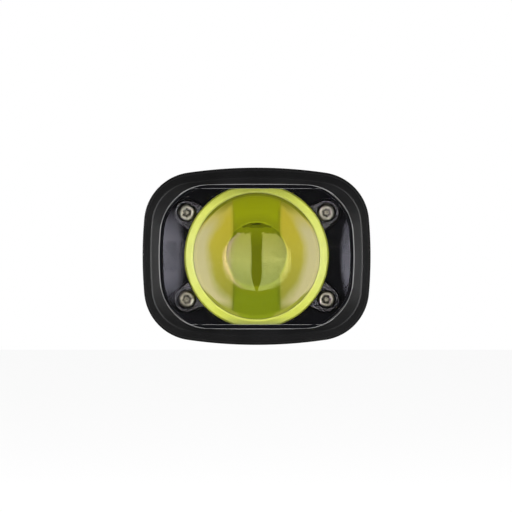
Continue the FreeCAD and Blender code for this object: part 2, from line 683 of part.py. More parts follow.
def shield_screws():
    seat = REFLECTOR_FRONT + REFLECTOR_FLANGE
    shank = seat - BARREL_REAR + SMALL_ENGAGE
    return [screw(M2_PAN, shank, point(side * SHIELD_SCREW_X, seat, 0.0), Vector(0, 1, 0))
            for side in (1, -1)]


def led_board():
    """Star board: a disc with notches round its edge."""
    body = disc(LED_BOARD_R, LED_BOARD_FRONT, LED_BOARD_REAR)
    for number in range(LED_NOTCH_COUNT):
        x, z = on_circle(LED_BOARD_R + LED_NOTCH_R / 3.0, 360.0 * (number + 0.5) / LED_NOTCH_COUNT)
        body = body.cut(disc(LED_NOTCH_R, LED_BOARD_FRONT, LED_BOARD_REAR, x, z))
    for side in (1, -1):
        body = body.cut(disc(M2_PAN["r"] + CLEAR_GAP, LED_BOARD_FRONT, LED_BOARD_REAR, side * LED_SCREW_X))
    return body


def led_emitter():
    half = LED_SIZE / 2.0
    package_front = LED_BOARD_FRONT - LED_HEIGHT
    package = block(-half, half, package_front, LED_BOARD_FRONT, -half, half)
    lens = Part.makeSphere(LED_DOME_R, point(0.0, package_front, 0.0))
    return package.fuse(lens.common(disc(2.0 * LED_DOME_R, package_front - LED_DOME_R, package_front)))


def thermal_pad():
    body = disc(LED_BOARD_R, LED_BOARD_REAR, BORE_FLOOR)
    for side in (1, -1):
        body = body.cut(disc(M2_PAN["r"] + CLEAR_GAP, LED_BOARD_REAR, BORE_FLOOR, side * LED_SCREW_X))
    return body


def led_board_screws():
    shank = LED_BOARD_THICK + PAD_THICK + SMALL_ENGAGE
    return [screw(M2_PAN, shank, point(side * LED_SCREW_X, LED_BOARD_FRONT, 0.0), Vector(0, -1, 0))
            for side in (1, -1)]


# ---- driver ----

def driver_board():
    body = tube(BOARD_R, BOARD_BORE_R, BOARD_FRONT, BOARD_REAR)
    for degrees in PILLAR_ANGLES:
        x, z = on_circle(PART_CIRCLE_R, degrees)
        body = body.cut(disc(M2_PAN["r"] + CLEAR_GAP, BOARD_FRONT, BOARD_REAR, x, z))
    return body


def driver_screws():
    places = [on_circle(PART_CIRCLE_R, degrees) for degrees in PILLAR_ANGLES]
    shank = BOARD_THICK + SMALL_ENGAGE
    return [screw(M2_PAN, shank, point(x, BOARD_FRONT, z), Vector(0, -1, 0)) for x, z in places]


def driver_capacitors():
    places = [on_circle(PART_CIRCLE_R, degrees) for degrees in CAPACITOR_ANGLES]
    return [disc(CAPACITOR_R, BOARD_FRONT - CAPACITOR_HEIGHT, BOARD_FRONT, x, z) for x, z in places]


def driver_inductor():
    front = BOARD_FRONT - INDUCTOR_HEIGHT
    core = disc(0.7 * INDUCTOR_R, front, BOARD_FRONT, PART_CIRCLE_R)
    top = disc(INDUCTOR_R, front, front + INDUCTOR_FLANGE, PART_CIRCLE_R)
    foot = disc(INDUCTOR_R, BOARD_FRONT - INDUCTOR_FLANGE, BOARD_FRONT, PART_CIRCLE_R)
    return joined([core, top, foot])


def driver_chips():
    half = CHIP_SIZE / 2.0
    chips = []
    for degrees in CHIP_ANGLES:
        chip = block(PART_CIRCLE_R - half, PART_CIRCLE_R + half, BOARD_FRONT - CHIP_HEIGHT, BOARD_FRONT,
                     -half, half)
        chip.rotate(Vector(0, 0, 0), Vector(0, -1, 0), degrees)
        chips.append(chip)
    return chips


def led_leads():
    z = -math.sqrt(LED_LEAD_CIRCLE_R ** 2 - LED_LEAD_X ** 2)
    return [disc(LED_LEAD_R, BOARD_REAR, LED_BOARD_FRONT, side * LED_LEAD_X, z) for side in (1, -1)]


def power_leads():
    """Two wires from the inlet's pins to the driver, each up, round a quarter turn and straight back."""
    leads = []
    for side in (1, -1):
        x = side * INLET_PIN_X
        start = point(x, INLET_DEPTH, INLET_TOP_Z)
        bend_start = start + Vector(0, 0, LEAD_RISE)
        bend_end = bend_start + Vector(0, LEAD_BEND_R, LEAD_BEND_R)
        slack = LEAD_BEND_R * (1.0 - math.sqrt(0.5))
        bend_middle = bend_start + Vector(0, slack, LEAD_BEND_R * math.sqrt(0.5))
        end = Vector(x, at_depth(BOARD_FRONT), bend_end.z)
        path = Part.Wire([
            Part.makeLine(start, bend_start),
            Part.Arc(bend_start, bend_middle, bend_end).toShape(),
            Part.makeLine(bend_end, end),
        ])
        ring = Part.Wire([Part.makeCircle(LEAD_R, start, Vector(0, 0, 1))])
        leads.append(path.makePipeShell([ring], True, False))
    return leads


# ---- inlet and vent ----

def upright(radius, z0, z1, x=0.0, depth=None):
    """Cylinder along Z, by default on the inlet's axis."""
    place = point(x, INLET_DEPTH if depth is None else depth, z0)
    return Part.makeCylinder(radius, z1 - z0, place, Vector(0, 0, 1))


def bayonet_lugs():
    """Two lugs on the left and right of the nozzle, at its mouth."""
    reach = INLET_NOZZLE_R + INLET_LUG_RISE
    bar = block(-reach, reach, INLET_DEPTH - INLET_LUG_HALF_W, INLET_DEPTH + INLET_LUG_HALF_W,
                INLET_MOUTH_Z, INLET_MOUTH_Z + INLET_LUG_HEIGHT)
    return bar.common(upright(reach, INLET_MOUTH_Z, INLET_FLANGE_Z))


def inlet_connector():
    flange = block(-INLET_FLANGE_HALF_W, INLET_FLANGE_HALF_W, INLET_DEPTH - INLET_FLANGE_HALF_L,
                   INLET_DEPTH + INLET_FLANGE_HALF_L, INLET_FLANGE_Z, INLET_FACE_Z)
    corners = [edge for edge in flange.Edges if edge.BoundBox.ZLength > 0.9 * INLET_FLANGE]
    flange = flange.makeFillet(0.4 * INLET_FLANGE_HALF_L, corners)
    nozzle = upright(INLET_NOZZLE_R, INLET_MOUTH_Z, INLET_FLANGE_Z)
    stem = upright(INLET_BODY_R, INLET_FACE_Z, INLET_TOP_Z)
    body = joined([flange, nozzle, stem, bayonet_lugs()])
    socket = upright(INLET_SOCKET_R, INLET_MOUTH_Z, INLET_BASE_Z)
    key_front = INLET_DEPTH - INLET_SOCKET_R
    key = block(-INLET_KEY_HALF_W, INLET_KEY_HALF_W, key_front - INLET_WALL, key_front + INLET_KEY_RISE,
                INLET_MOUTH_Z + INLET_NOZZLE, INLET_BASE_Z)
    body = body.cut(socket.cut(key))
    for side in (1, -1):
        body = body.cut(upright(INLET_PIN_R, INLET_BASE_Z, INLET_TOP_Z, side * INLET_PIN_X))
        hole_r = M2_PAN["r"] + CLEAR_GAP
        body = body.cut(upright(hole_r, INLET_FLANGE_Z, INLET_FACE_Z, side * INLET_SCREW_X))
    return body


def inlet_pins():
    tip = INLET_BASE_Z - INLET_PIN_LENGTH
    return [upright(INLET_PIN_R, tip, INLET_TOP_Z, side * INLET_PIN_X) for side in (1, -1)]


def inlet_seal():
    z1 = INLET_FACE_Z + INLET_SEAL_THICK
    return upright(INLET_SEAL_R, INLET_FACE_Z, z1).cut(upright(INLET_BODY_R, INLET_FACE_Z, z1))


def inlet_screws():
    shank = INLET_FLANGE + SMALL_ENGAGE
    return [screw(M2_PAN, shank, point(side * INLET_SCREW_X, INLET_DEPTH, INLET_FLANGE_Z), Vector(0, 0, -1))
            for side in (1, -1)]


def tub_bottom_z():
    return -(CHAMBER.sizes[1] + TUB_WALL)


def vent_plug():
    bottom = tub_bottom_z()
    cap = upright(VENT_CAP_R, bottom - VENT_CAP_THICK, bottom, depth=VENT_DEPTH)
    rim = [edge for edge in cap.Edges if edge.BoundBox.ZMax < bottom - 0.9 * VENT_CAP_THICK]
    cap = cap.makeChamfer(0.4 * VENT_CAP_THICK, rim)
    for number in range(VENT_NOTCH_COUNT):
        x, back = on_circle(VENT_CAP_R, 360.0 * number / VENT_NOTCH_COUNT)
        cap = cap.cut(upright(VENT_NOTCH_R, bottom - VENT_CAP_THICK, bottom, x, VENT_DEPTH + back))
    stem = upright(VENT_STEM_R, bottom, bottom + TUB_WALL, depth=VENT_DEPTH)
    bore = upright(VENT_BORE_R, bottom - VENT_CAP_THICK, bottom + TUB_WALL, depth=VENT_DEPTH)
    return cap.fuse(stem).cut(bore).removeSplitter()


def vent_membrane():
    top = tub_bottom_z() + TUB_WALL
    return upright(VENT_BORE_R, top - VENT_MEMBRANE_THICK, top, depth=VENT_DEPTH)


# ---- housing ----

def fin_profile():
    """One fin, seen from the side: it wraps over the core, behind it and under it."""
    front_z = CORE_HALF_H + FIN_FRONT_RISE
    rear_z = CORE_HALF_H + FIN_REAR_RISE
    corners = [
        point(0.0, TUB_REAR, front_z),
        point(0.0, FIN_REAR, rear_z),
        point(0.0, FIN_REAR, -rear_z),
        point(0.0, TUB_REAR, -front_z),
    ]
    plate = Part.Face(Part.makePolygon(corners + corners[:1])).extrude(Vector(FIN_THICK, 0, 0))
    pivot = point(-FIN_THICK, PIVOT_DEPTH, 0.0)
    swing = Part.makeCylinder(FIN_SWING_R, 3.0 * FIN_THICK, pivot, Vector(1, 0, 0))
    ahead = block(-FIN_THICK, 2.0 * FIN_THICK, TUB_REAR, PIVOT_DEPTH, -front_z, front_z)
    fin = plate.common(swing.fuse(ahead)).removeSplitter()
    tips = [edge for edge in fin.Edges
            if edge.BoundBox.XLength < 1e-6 and edge.BoundBox.YMax > at_depth(TUB_REAR) + FIN_THICK]
    return fin.makeFillet(FIN_TIP_R, tips)


def cooling_fins():
    profile = fin_profile()
    pitch = (2.0 * CORE_HALF_W - FIN_THICK) / (FIN_COUNT - 1)
    fins = []
    for number in range(FIN_COUNT):
        fin = profile.copy()
        fin.translate(Vector(-CORE_HALF_W + number * pitch, 0, 0))
        fins.append(fin)
    return fins


def side_ribs():
    """Round-ended ribs on both sides of the core, above and below the pivot pads."""
    ends = (TUB_REAR + RIB_END_GAP, CORE_REAR - RIB_END_GAP)
    heights = [PAD_R + RIB_FROM_PAD + number * RIB_PITCH for number in range(RIB_COUNT)]
    ribs = []
    for side in (1, -1):
        root, top = sorted((side * (CORE_HALF_W - FIN_THICK / 2.0), side * PAD_X))
        for z in heights + [-height for height in heights]:
            middle = block(root, top, ends[0], ends[1], z - RIB_HALF_W, z + RIB_HALF_W)
            rounds = [rod(RIB_HALF_W, point(root, depth, z), point(top, depth, z)) for depth in ends]
            ribs.append(joined([middle] + rounds))
    return ribs


def core_block():
    body = block(-CORE_HALF_W, CORE_HALF_W, TUB_REAR, CORE_REAR, -CORE_HALF_H, CORE_HALF_H)
    long_edges = [edge for edge in body.Edges if edge.BoundBox.YLength > 1.0]
    return body.makeFillet(CORE_ROUND, long_edges)


def housing_shell():
    tub = prism(CHAMBER.grown(TUB_WALL), BEZEL_DEPTH, TUB_REAR)
    tub = tub.makeFillet(TUB_ROUND, edges_at_depth(tub, TUB_REAR))
    flange = prism(BEZEL.grown(-FLANGE_INSET), BEZEL_DEPTH, FLANGE_REAR)
    spigot = prism(SEAT, SPIGOT_FRONT, BEZEL_DEPTH)
    pad_ends = (CORE_HALF_W - FIN_THICK / 2.0, PAD_X)
    pads = [rod(PAD_R, *(point(side * x, PIVOT_DEPTH, 0.0) for x in pad_ends)) for side in (1, -1)]
    inlet_pad = block(-INLET_PAD_HALF_W, INLET_PAD_HALF_W, INLET_DEPTH - INLET_PAD_HALF_L,
                      INLET_DEPTH + INLET_PAD_HALF_L, INLET_FACE_Z, -CORE_HALF_H + CORE_WALL / 2.0)
    below_pad = block(-INLET_PAD_HALF_W, INLET_PAD_HALF_W, TUB_REAR, INLET_DEPTH + INLET_PAD_HALF_L,
                      INLET_FACE_Z - INLET_PAD_HALF_L, -CORE_HALF_H)
    finned = joined([core_block()] + cooling_fins()).cut(below_pad)
    return joined([finned, tub, flange, spigot, inlet_pad] + pads + side_ribs())


def housing_holes():
    """Everything that is cut out of the housing."""
    front = Vector(0, -1, 0)
    holes = [prism(CHAMBER, SPIGOT_FRONT, CHAMBER_FLOOR), disc(BORE_R, CHAMBER_FLOOR, BORE_FLOOR)]
    for x, z in four_ways(EAR_X, EAR_Z):
        holes.append(screw_hole(M3_BUTTON, point(x, CHAMBER_FLOOR, z), front, CARRIER_ENGAGE + HOLE_EXTRA))
    for x, z in four_ways(BEZEL_SCREW_X, BEZEL_SCREW_Z):
        holes.append(disc(M25_CAP["r"] + CLEAR_GAP, BEZEL_DEPTH, FLANGE_REAR, x, z))
        holes.append(disc(M25_CAP["head_r"] + SINK_GAP, FLANGE_REAR, TUB_REAR, x, z))
    for side in (1, -1):
        face = point(side * LED_SCREW_X, BORE_FLOOR, 0.0)
        holes.append(screw_hole(M2_PAN, face, front, SMALL_ENGAGE + HOLE_EXTRA))
        out = Vector(side, 0, 0)
        pad = point(side * PAD_X, PIVOT_DEPTH, 0.0)
        holes.append(screw_hole(M6_BOLT, pad, out, PIVOT_ENGAGE + HOLE_EXTRA / 2.0))
        under = point(side * INLET_SCREW_X, INLET_DEPTH, INLET_FACE_Z)
        holes.append(screw_hole(M2_PAN, under, Vector(0, 0, -1), SMALL_ENGAGE + HOLE_EXTRA))
    holes.append(upright(INLET_BODY_R, INLET_FACE_Z, -BORE_R / 2.0))
    holes.append(upright(INLET_SEAL_R, INLET_FACE_Z, INLET_FACE_Z + INLET_SEAL_THICK))
    holes.append(upright(VENT_STEM_R, tub_bottom_z(), tub_bottom_z() + TUB_WALL + FIT_GAP, depth=VENT_DEPTH))
    return holes


def heat_sink_housing():
    body = housing_shell().cut(housing_holes())
    pillars = []
    for degrees in PILLAR_ANGLES:
        x, z = on_circle(PART_CIRCLE_R, degrees)
        pillar = disc(PILLAR_R, BOARD_REAR, BORE_FLOOR, x, z)
        hole = disc(M2_PAN["r"] + THREAD_GAP, BOARD_REAR, BOARD_REAR + SMALL_ENGAGE + HOLE_EXTRA, x, z)
        pillars.append(pillar.cut(hole))
    return joined([body] + pillars)


def bezel_screws():
    shank = FLANGE_THICK + BEZEL_ENGAGE
    return [screw(M25_CAP, shank, point(x, FLANGE_REAR, z), Vector(0, 1, 0))
            for x, z in four_ways(BEZEL_SCREW_X, BEZEL_SCREW_Z)]


# ---- bracket and pivot ----

def bracket_strip():
    """The bent strip, seen from above, as tall as the base."""
    bend_x = ARM_INNER_X - BEND_R
    bend_y = -(ARM_THICK + BEND_R)
    tip_y = PIVOT_Y - ARM_END_R
    diagonal = math.sqrt(0.5)
    edges = []
    for side in (1, -1):
        centre = Vector(side * bend_x, bend_y, 0)
        spread = Vector(side * diagonal, diagonal, 0)
        tips = []
        for arm_x, radius in ((ARM_OUTER_X, BEND_R + ARM_THICK), (ARM_INNER_X, BEND_R)):
            base_end = centre + Vector(0, radius, 0)
            arm_start = Vector(side * arm_x, bend_y, 0)
            tips.append(Vector(side * arm_x, tip_y, 0))
            edges.append(Part.Arc(base_end, centre + spread * radius, arm_start).toShape())
            edges.append(Part.makeLine(arm_start, tips[-1]))
        edges.append(Part.makeLine(*tips))
    for y in (0.0, -ARM_THICK):
        edges.append(Part.makeLine(Vector(-bend_x, y, 0), Vector(bend_x, y, 0)))
    strip = Part.Face(Part.Wire(Part.__sortEdges__(edges))).extrude(Vector(0, 0, 2.0 * BASE_HALF_H))
    strip.translate(Vector(0, 0, -BASE_HALF_H))
    return strip


def arm_silhouette():
    """The bracket from the side: the base's height, narrowing along arcs to the round end."""
    shoulder_y = -(ARM_THICK + BEND_R)
    reach = shoulder_y - PIVOT_Y
    side_r = (reach ** 2 + BASE_HALF_H ** 2 - ARM_END_R ** 2) / (2.0 * (BASE_HALF_H - ARM_END_R))
    centre = Vector(0, shoulder_y, BASE_HALF_H - side_r)
    lean = math.atan2(reach, side_r - BASE_HALF_H)
    shoulder = Vector(0, shoulder_y, BASE_HALF_H)
    middle = centre + Vector(0, -math.sin(lean / 2.0), math.cos(lean / 2.0)) * side_r
    tip = Vector(0, PIVOT_Y - ARM_END_R * math.sin(lean), ARM_END_R * math.cos(lean))
    heel = Vector(0, 0, BASE_HALF_H)
    upper = [Part.Arc(tip, middle, shoulder).toShape(), Part.makeLine(shoulder, heel)]
    lower = [edge.mirror(Vector(0, 0, 0), Vector(0, 0, 1)) for edge in upper]
    nose = Part.Arc(tip, Vector(0, PIVOT_Y - ARM_END_R, 0), Vector(0, tip.y, -tip.z)).toShape()
    back = Part.makeLine(heel, Vector(0, 0, -BASE_HALF_H))
    edges = Part.__sortEdges__(upper + lower + [nose, back])
    solid = Part.Face(Part.Wire(edges)).extrude(Vector(2.0 * ARM_OUTER_X, 0, 0))
    solid.translate(Vector(-ARM_OUTER_X, 0, 0))
    return solid


def mounting_slot(x):
    straight = SLOT_LENGTH / 2.0 - SLOT_HALF_W
    back = Vector(0, -ARM_THICK, 0)
    ends = [rod(SLOT_HALF_W, Vector(x + way * straight, 0, 0), Vector(x + way * straight, 0, 0) + back)
            for way in (1, -1)]
    middle = Part.makeBox(2.0 * straight, ARM_THICK, 2.0 * SLOT_HALF_W,
                          Vector(x - straight, -ARM_THICK, -SLOT_HALF_W))
    return joined([middle] + ends)


def strip_edges(body):
    """The sheared edges along both sides of the strip, without those across its thickness or its bends."""
    return [edge for edge in body.Edges
            if edge.Length > 1.5 * ARM_THICK and edge.BoundBox.XLength + edge.BoundBox.YLength > ARM_THICK]


def mounting_bracket():
    body = bracket_strip().common(arm_silhouette()).removeSplitter()
    body = body.makeFillet(BRACKET_EDGE_R, strip_edges(body))
    body = body.cut(rod(MOUNT_HOLE_R, Vector(0, 0, 0), Vector(0, -ARM_THICK, 0)))
    for side in (1, -1):
        body = body.cut(mounting_slot(side * SLOT_X))
    reach = ARM_OUTER_X + ARM_THICK
    pin = rod(M6_BOLT["r"] + PIVOT_BORE_GAP, Vector(-reach, PIVOT_Y, 0), Vector(reach, PIVOT_Y, 0))
    return body.cut(pin)


def side_washer(outer_r, inner_r, x0, x1):
    """Washer about the pivot, on both sides of the lamp."""
    washers = []
    for side in (1, -1):
        near = Vector(side * x0, PIVOT_Y, 0)
        far = Vector(side * x1, PIVOT_Y, 0)
        washers.append(rod(outer_r, near, far).cut(rod(inner_r, near, far)))
    return washers


def pivot_thrust_washers():
    return side_washer(THRUST_WASHER_R, M6_BOLT["r"] + PIVOT_BORE_GAP, PAD_X + PIVOT_GAP, ARM_INNER_X)


def pivot_lock_washers():
    inner = ARM_OUTER_X + PIVOT_GAP
    return side_washer(LOCK_WASHER_R, M6_BOLT["r"] + THREAD_GAP, inner, inner + LOCK_WASHER_THICK)


def pivot_bolts():
    seat = ARM_OUTER_X + PIVOT_GAP + LOCK_WASHER_THICK
    shank = seat - PAD_X + PIVOT_ENGAGE
    return [screw(M6_BOLT, shank, Vector(side * seat, PIVOT_Y, 0), Vector(side, 0, 0)) for side in (1, -1)]


PIECES = (
    mounting_bracket, pivot_thrust_washers, pivot_lock_washers, pivot_bolts,
    heat_sink_housing, front_bezel, bezel_screws, cover_lens, cover_gasket, inner_trim,
    lens_ring, projector_lens, lens_seal, lens_barrel, lens_carrier, carrier_screws,
    cutoff_shield, reflector, shield_screws, led_board, led_emitter, thermal_pad, led_board_screws,
    driver_board, driver_screws, driver_inductor, driver_capacitors, driver_chips,
    led_leads, power_leads, inlet_connector, inlet_pins, inlet_seal, inlet_screws,
    vent_plug, vent_membrane,
)

os.makedirs("parts", exist_ok=True)
for piece in PIECES:
    made = piece()
    shape = Part.makeCompound(made) if isinstance(made, list) else made
    volume = sum(solid.Volume for solid in shape.Solids)
    print(f"{piece.__name__}: {len(shape.Solids)} solids, {volume:.1f} mm3, valid {shape.isValid()}")
    shape.exportStep(f"parts/{piece.__name__}.step")
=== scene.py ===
# %% [markdown]
# # Dressing a small projector fog light
# The lamp is already engineered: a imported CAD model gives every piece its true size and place.
# This lesson adds what an engineer's model lacks, which is the look of each surface: smooth turned
# and moulded shapes where the light plays, screws with real recesses and threads, and a procedural
# finish for every piece. Nothing is moved or resized, so the lamp still fits and tilts as designed.
# The first step loads that model. Each of its nodes arrives as a mesh whose place is in its
# vertices, in metres, with Z up and the front of the lamp facing -Y.

# %% Load the frame
import json
import math
import bmesh
import bpy
from mathutils import Matrix, Vector


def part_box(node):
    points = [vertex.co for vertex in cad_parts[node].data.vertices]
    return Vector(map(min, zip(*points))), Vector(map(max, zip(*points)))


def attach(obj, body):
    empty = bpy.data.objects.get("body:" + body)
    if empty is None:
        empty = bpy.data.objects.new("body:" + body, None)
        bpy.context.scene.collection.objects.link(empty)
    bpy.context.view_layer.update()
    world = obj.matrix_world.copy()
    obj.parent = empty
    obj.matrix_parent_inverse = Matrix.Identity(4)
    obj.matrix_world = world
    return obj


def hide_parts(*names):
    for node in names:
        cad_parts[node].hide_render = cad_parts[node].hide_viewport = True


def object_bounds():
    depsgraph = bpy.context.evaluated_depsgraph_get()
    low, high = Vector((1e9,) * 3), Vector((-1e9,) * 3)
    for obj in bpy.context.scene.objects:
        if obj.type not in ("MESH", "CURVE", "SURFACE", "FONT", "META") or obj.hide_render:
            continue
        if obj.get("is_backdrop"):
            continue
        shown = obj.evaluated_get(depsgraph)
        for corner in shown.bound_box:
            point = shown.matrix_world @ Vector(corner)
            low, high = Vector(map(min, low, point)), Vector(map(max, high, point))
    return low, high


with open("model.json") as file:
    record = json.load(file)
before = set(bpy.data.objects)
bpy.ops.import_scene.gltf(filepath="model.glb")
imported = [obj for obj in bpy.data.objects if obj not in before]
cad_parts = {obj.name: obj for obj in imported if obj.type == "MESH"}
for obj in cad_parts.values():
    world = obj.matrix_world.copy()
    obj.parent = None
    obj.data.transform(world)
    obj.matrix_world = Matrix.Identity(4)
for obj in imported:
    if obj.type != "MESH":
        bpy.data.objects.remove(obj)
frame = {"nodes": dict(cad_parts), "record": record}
nodes = frame["nodes"]
cad_lo, cad_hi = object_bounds()
MM = 0.001
print(f"{len(nodes)} nodes, {', '.join(f'{side / MM:.1f}' for side in cad_hi - cad_lo)} mm overall")

# %% [markdown]
# ## Places along the lamp
# A lamp like this is stacked along one axis: bezel, cover, lens, barrel, board. So one number says
# where anything is, its depth behind the bezel's foremost edge. Reading those depths from the
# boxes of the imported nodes, rather than typing them, keeps this script true to the model.

# %% Depths in millimetres
crest_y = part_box("front_bezel")[0].y


def at_depth(depth):
    """Y of a depth in millimetres, in metres."""
    return crest_y + depth * MM


def depths(node):
    """Front and rear of a node, in millimetres behind the crest."""
    lo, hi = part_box(node)
    return (lo.y - crest_y) / MM, (hi.y - crest_y) / MM


def half_size(node):
    """Half of a node's width and height, in millimetres."""
    lo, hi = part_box(node)
    return (hi.x - lo.x) / 2 / MM, (hi.z - lo.z) / 2 / MM


bezel_rear = depths("front_bezel")[1]
cover_apex, cover_rear = depths("cover_lens")
lens_apex, lens_rear = depths("projector_lens")
ring_front, ring_rear = depths("lens_ring")
barrel_front = depths("lens_barrel")[0]
print(f"cover {cover_apex:.2f}, lens {lens_apex:.2f}, ring {ring_front:.2f}, "
      f"barrel {barrel_front:.2f} mm deep")

# %% [markdown]
# ## Camera
# A product portrait is taken from far away with a long lens, so that the outline isn't bent by
# perspective. A distance and the width of the picture at the lamp give the focal length by similar
# triangles. The camera stands a little above the lamp's axis.

# %% Camera in front of the lamp
CAMERA_DISTANCE = 1.6
CAMERA_RISE = 0.7              # degrees above the lamp's axis
PICTURE_WIDTH = 155.4          # millimetres at the lamp
SENSOR_WIDTH = 36.0
AIM_RIGHT, AIM_UP = -0.18, 0.08              # millimetres from the lamp's axis

target = Vector((AIM_RIGHT * MM, at_depth(bezel_rear), AIM_UP * MM))
rise = math.radians(CAMERA_RISE)
camera_data = bpy.data.cameras.new("portrait_camera")
camera_data.sensor_width = SENSOR_WIDTH
camera_data.lens = SENSOR_WIDTH * CAMERA_DISTANCE / (PICTURE_WIDTH * MM)
camera = bpy.data.objects.new("portrait_camera", camera_data)
bpy.context.scene.collection.objects.link(camera)
camera.location = target + Vector((0, -math.cos(rise), math.sin(rise))) * CAMERA_DISTANCE
camera.rotation_euler = (math.radians(90) - rise, 0, 0)
camera_data.clip_start = 0.05
bpy.context.scene.camera = camera
print(f"focal length {camera_data.lens:.0f} mm")

# %% [markdown]
# ## A helper for node trees
# Geometry, materials and the world are all node trees, and writing each node by hand takes three or
# four lines. One function that makes a node, sets its options and fills or links its inputs keeps
# the recipes below short enough to read.

# %% Node helper
def add(tree, kind, inputs=None, **options):
    """A new node, with inputs given by name or number as a value or as the socket to link."""
    made = tree.nodes.new(kind)
    for option, value in options.items():
        setattr(made, option, value)
    for key, value in (inputs or {}).items():
        if isinstance(value, bpy.types.NodeSocket):
            tree.links.new(value, made.inputs[key])
        else:
            made.inputs[key].default_value = value
    return made


def calc(tree, operation, *values):
    """The result of one Math node."""
    return add(tree, "ShaderNodeMath", dict(enumerate(values)), operation=operation).outputs[0]


print("node helpers ready")

# %% [markdown]
# ## Light
# Black and clear pieces have hardly any colour of their own: what shows is the room in them. So
# the room is designed first, with two jobs kept apart. Fill lights brighten the coloured and bare
# surfaces but are hidden from reflections, which keeps the black ones black. Cards do the
# opposite: they are only there to be mirrored, so light linking limits each of them to one piece.

# %% Light-linking groups
LIGHT_AIM = Vector((0, at_depth(lens_apex), 0))
LIT_TOGETHER = {               # light-linking groups; a piece that isn't named is in the last one
    "both_glasses": ("cover_lens", "projector_lens"),
    "cover_alone": ("cover_lens",),
    "front_metal": ("front_bezel", "lens_ring", "lens_barrel"),
    "frame_alone": ("front_bezel",),
    "ring_alone": ("lens_ring",),
    "holding_metal": ("lens_carrier", "carrier_screws"),
    "rear_pieces": (),
}
lit_groups = {title: bpy.data.collections.new(title) for title in LIT_TOGETHER}


def join_lit_groups(piece, node):
    """Let the lights of its groups reach a piece."""
    joined = [title for title, members in LIT_TOGETHER.items() if node in members]
    for title in joined or ["rear_pieces"]:
        lit_groups[title].objects.link(piece)


print(len(lit_groups), "light-linking groups")

# %% [markdown]
# ## Soft boxes
# A soft box is a rectangle of light that faces the lamp. It is described by what the lamp sees:
# the direction, how many degrees wide and high it looks, and how bright it is. So a box can stand
# further off without changing the light. The left and right boxes mirror each other.

# %% Area lights
def direction(azimuth, elevation):
    """Unit vector from the lamp. Azimuth 0 points at the camera's side and 90 to the right."""
    a, e = math.radians(azimuth), math.radians(elevation)
    return Vector((math.sin(a) * math.cos(e), -math.cos(a) * math.cos(e), math.sin(e)))


def soft_box(name, azimuth, elevation, distance, width, height, radiance,
             mirrored=True, spread=True, group=None):
    """Rectangular light that faces the lamp; its width and height are angles seen from there.

    Mirrored and spread say whether gloss and matt surfaces answer to it, and the group says which
    pieces do.
    """
    data = bpy.data.lights.new(name, "AREA")
    data.shape = "RECTANGLE"
    data.size = 2 * distance * math.tan(math.radians(width / 2))
    data.size_y = 2 * distance * math.tan(math.radians(height / 2))
    data.energy = radiance * math.pi * data.size * data.size_y
    data.cycles.use_multiple_importance_sampling = False
    light = bpy.data.objects.new(name, data)
    bpy.context.scene.collection.objects.link(light)
    out = direction(azimuth, elevation)
    light.location = LIGHT_AIM + out * distance
    light.rotation_mode = "QUATERNION"
    light.rotation_quaternion = out.to_track_quat("Z", "Y")
    light.visible_camera = False
    light.visible_diffuse = spread
    light.visible_glossy = mirrored
    light.visible_transmission = mirrored
    light.light_linking.receiver_collection = lit_groups.get(group)


# azimuth, elevation, distance in metres, width and height in degrees, radiance
for name, side in (("left", -1), ("right", 1)):
    soft_box(f"fill_{name}", side * 32, 2, 1.0, 40, 50, 6.2, mirrored=False)
    soft_box(f"side_panel_{name}", side * 62, 0, 0.6, 30, 50, 2.4, group="front_metal")
    soft_box(f"crest_strip_{name}", side * 80, 0, 0.6, 18, 60, 3.0, group="frame_alone")
    soft_box(f"ring_strip_{name}", side * 42, 0, 0.6, 24, 30, 20.0, spread=False,
             group="ring_alone")
    soft_box(f"metal_box_{name}", side * 38, 0, 0.7, 62, 100, 0.28, group="holding_metal")
    soft_box(f"rear_box_{name}", side * 145, 25, 0.9, 50, 50, 2.2, group="rear_pieces")
soft_box("top_box", 0, 78, 0.9, 60, 30, 1.0, group="rear_pieces")

# %% [markdown]
# ## Cards seen in the lens and the cover
# The lens bulges, so it shows a small picture of everything before it. The picture wanted is a
# pair of half-round soft boxes with the camera's stand as a dark gap between them. The cover is
# nearly flat and shows a soft upright card near each end. To find where a card must be, the
# problem is turned round: pick the spot on the clear piece where a corner should appear, mirror
# the camera's ray there, and follow it to the plane of the cards. Each card is a grid of such
# corners, and an attribute holds how brightly each glows, so a card can fade towards its edges.

# %% Cards placed by mirroring the camera's ray
LENS_FACE_R = 25.0             # millimetres
COVER_DOME_R = 600.0           # the cover is domed so little that it looks flat
CARD_DISTANCE = 0.8            # metres in front of the lens
BLUSH = (1.3, 0.88, 2.0)       # colour of a card's outer edge


def card_point(x, z, apex, radius):
    """Place of a card's corner that a ball-shaped face shows at x, z millimetres off its axis."""
    fall = radius - math.sqrt(radius ** 2 - x ** 2 - z ** 2)
    spot = Vector((x * MM, at_depth(apex + fall), z * MM))
    normal = (spot - Vector((0, at_depth(apex + radius), 0))).normalized()
    to_camera = (camera.location - spot).normalized()
    out = 2 * normal.dot(to_camera) * normal - to_camera
    return spot + out * ((LIGHT_AIM.y - CARD_DISTANCE - spot.y) / out.y)


print("cards stand", CARD_DISTANCE, "m in front of the lens")

# %% [markdown]
# ## What a card is
# A card glows by its material, whose colour goes from cool at the foot to warm at the top, and to a
# blush where the card says so. It is clear to every ray that isn't meant to see it.

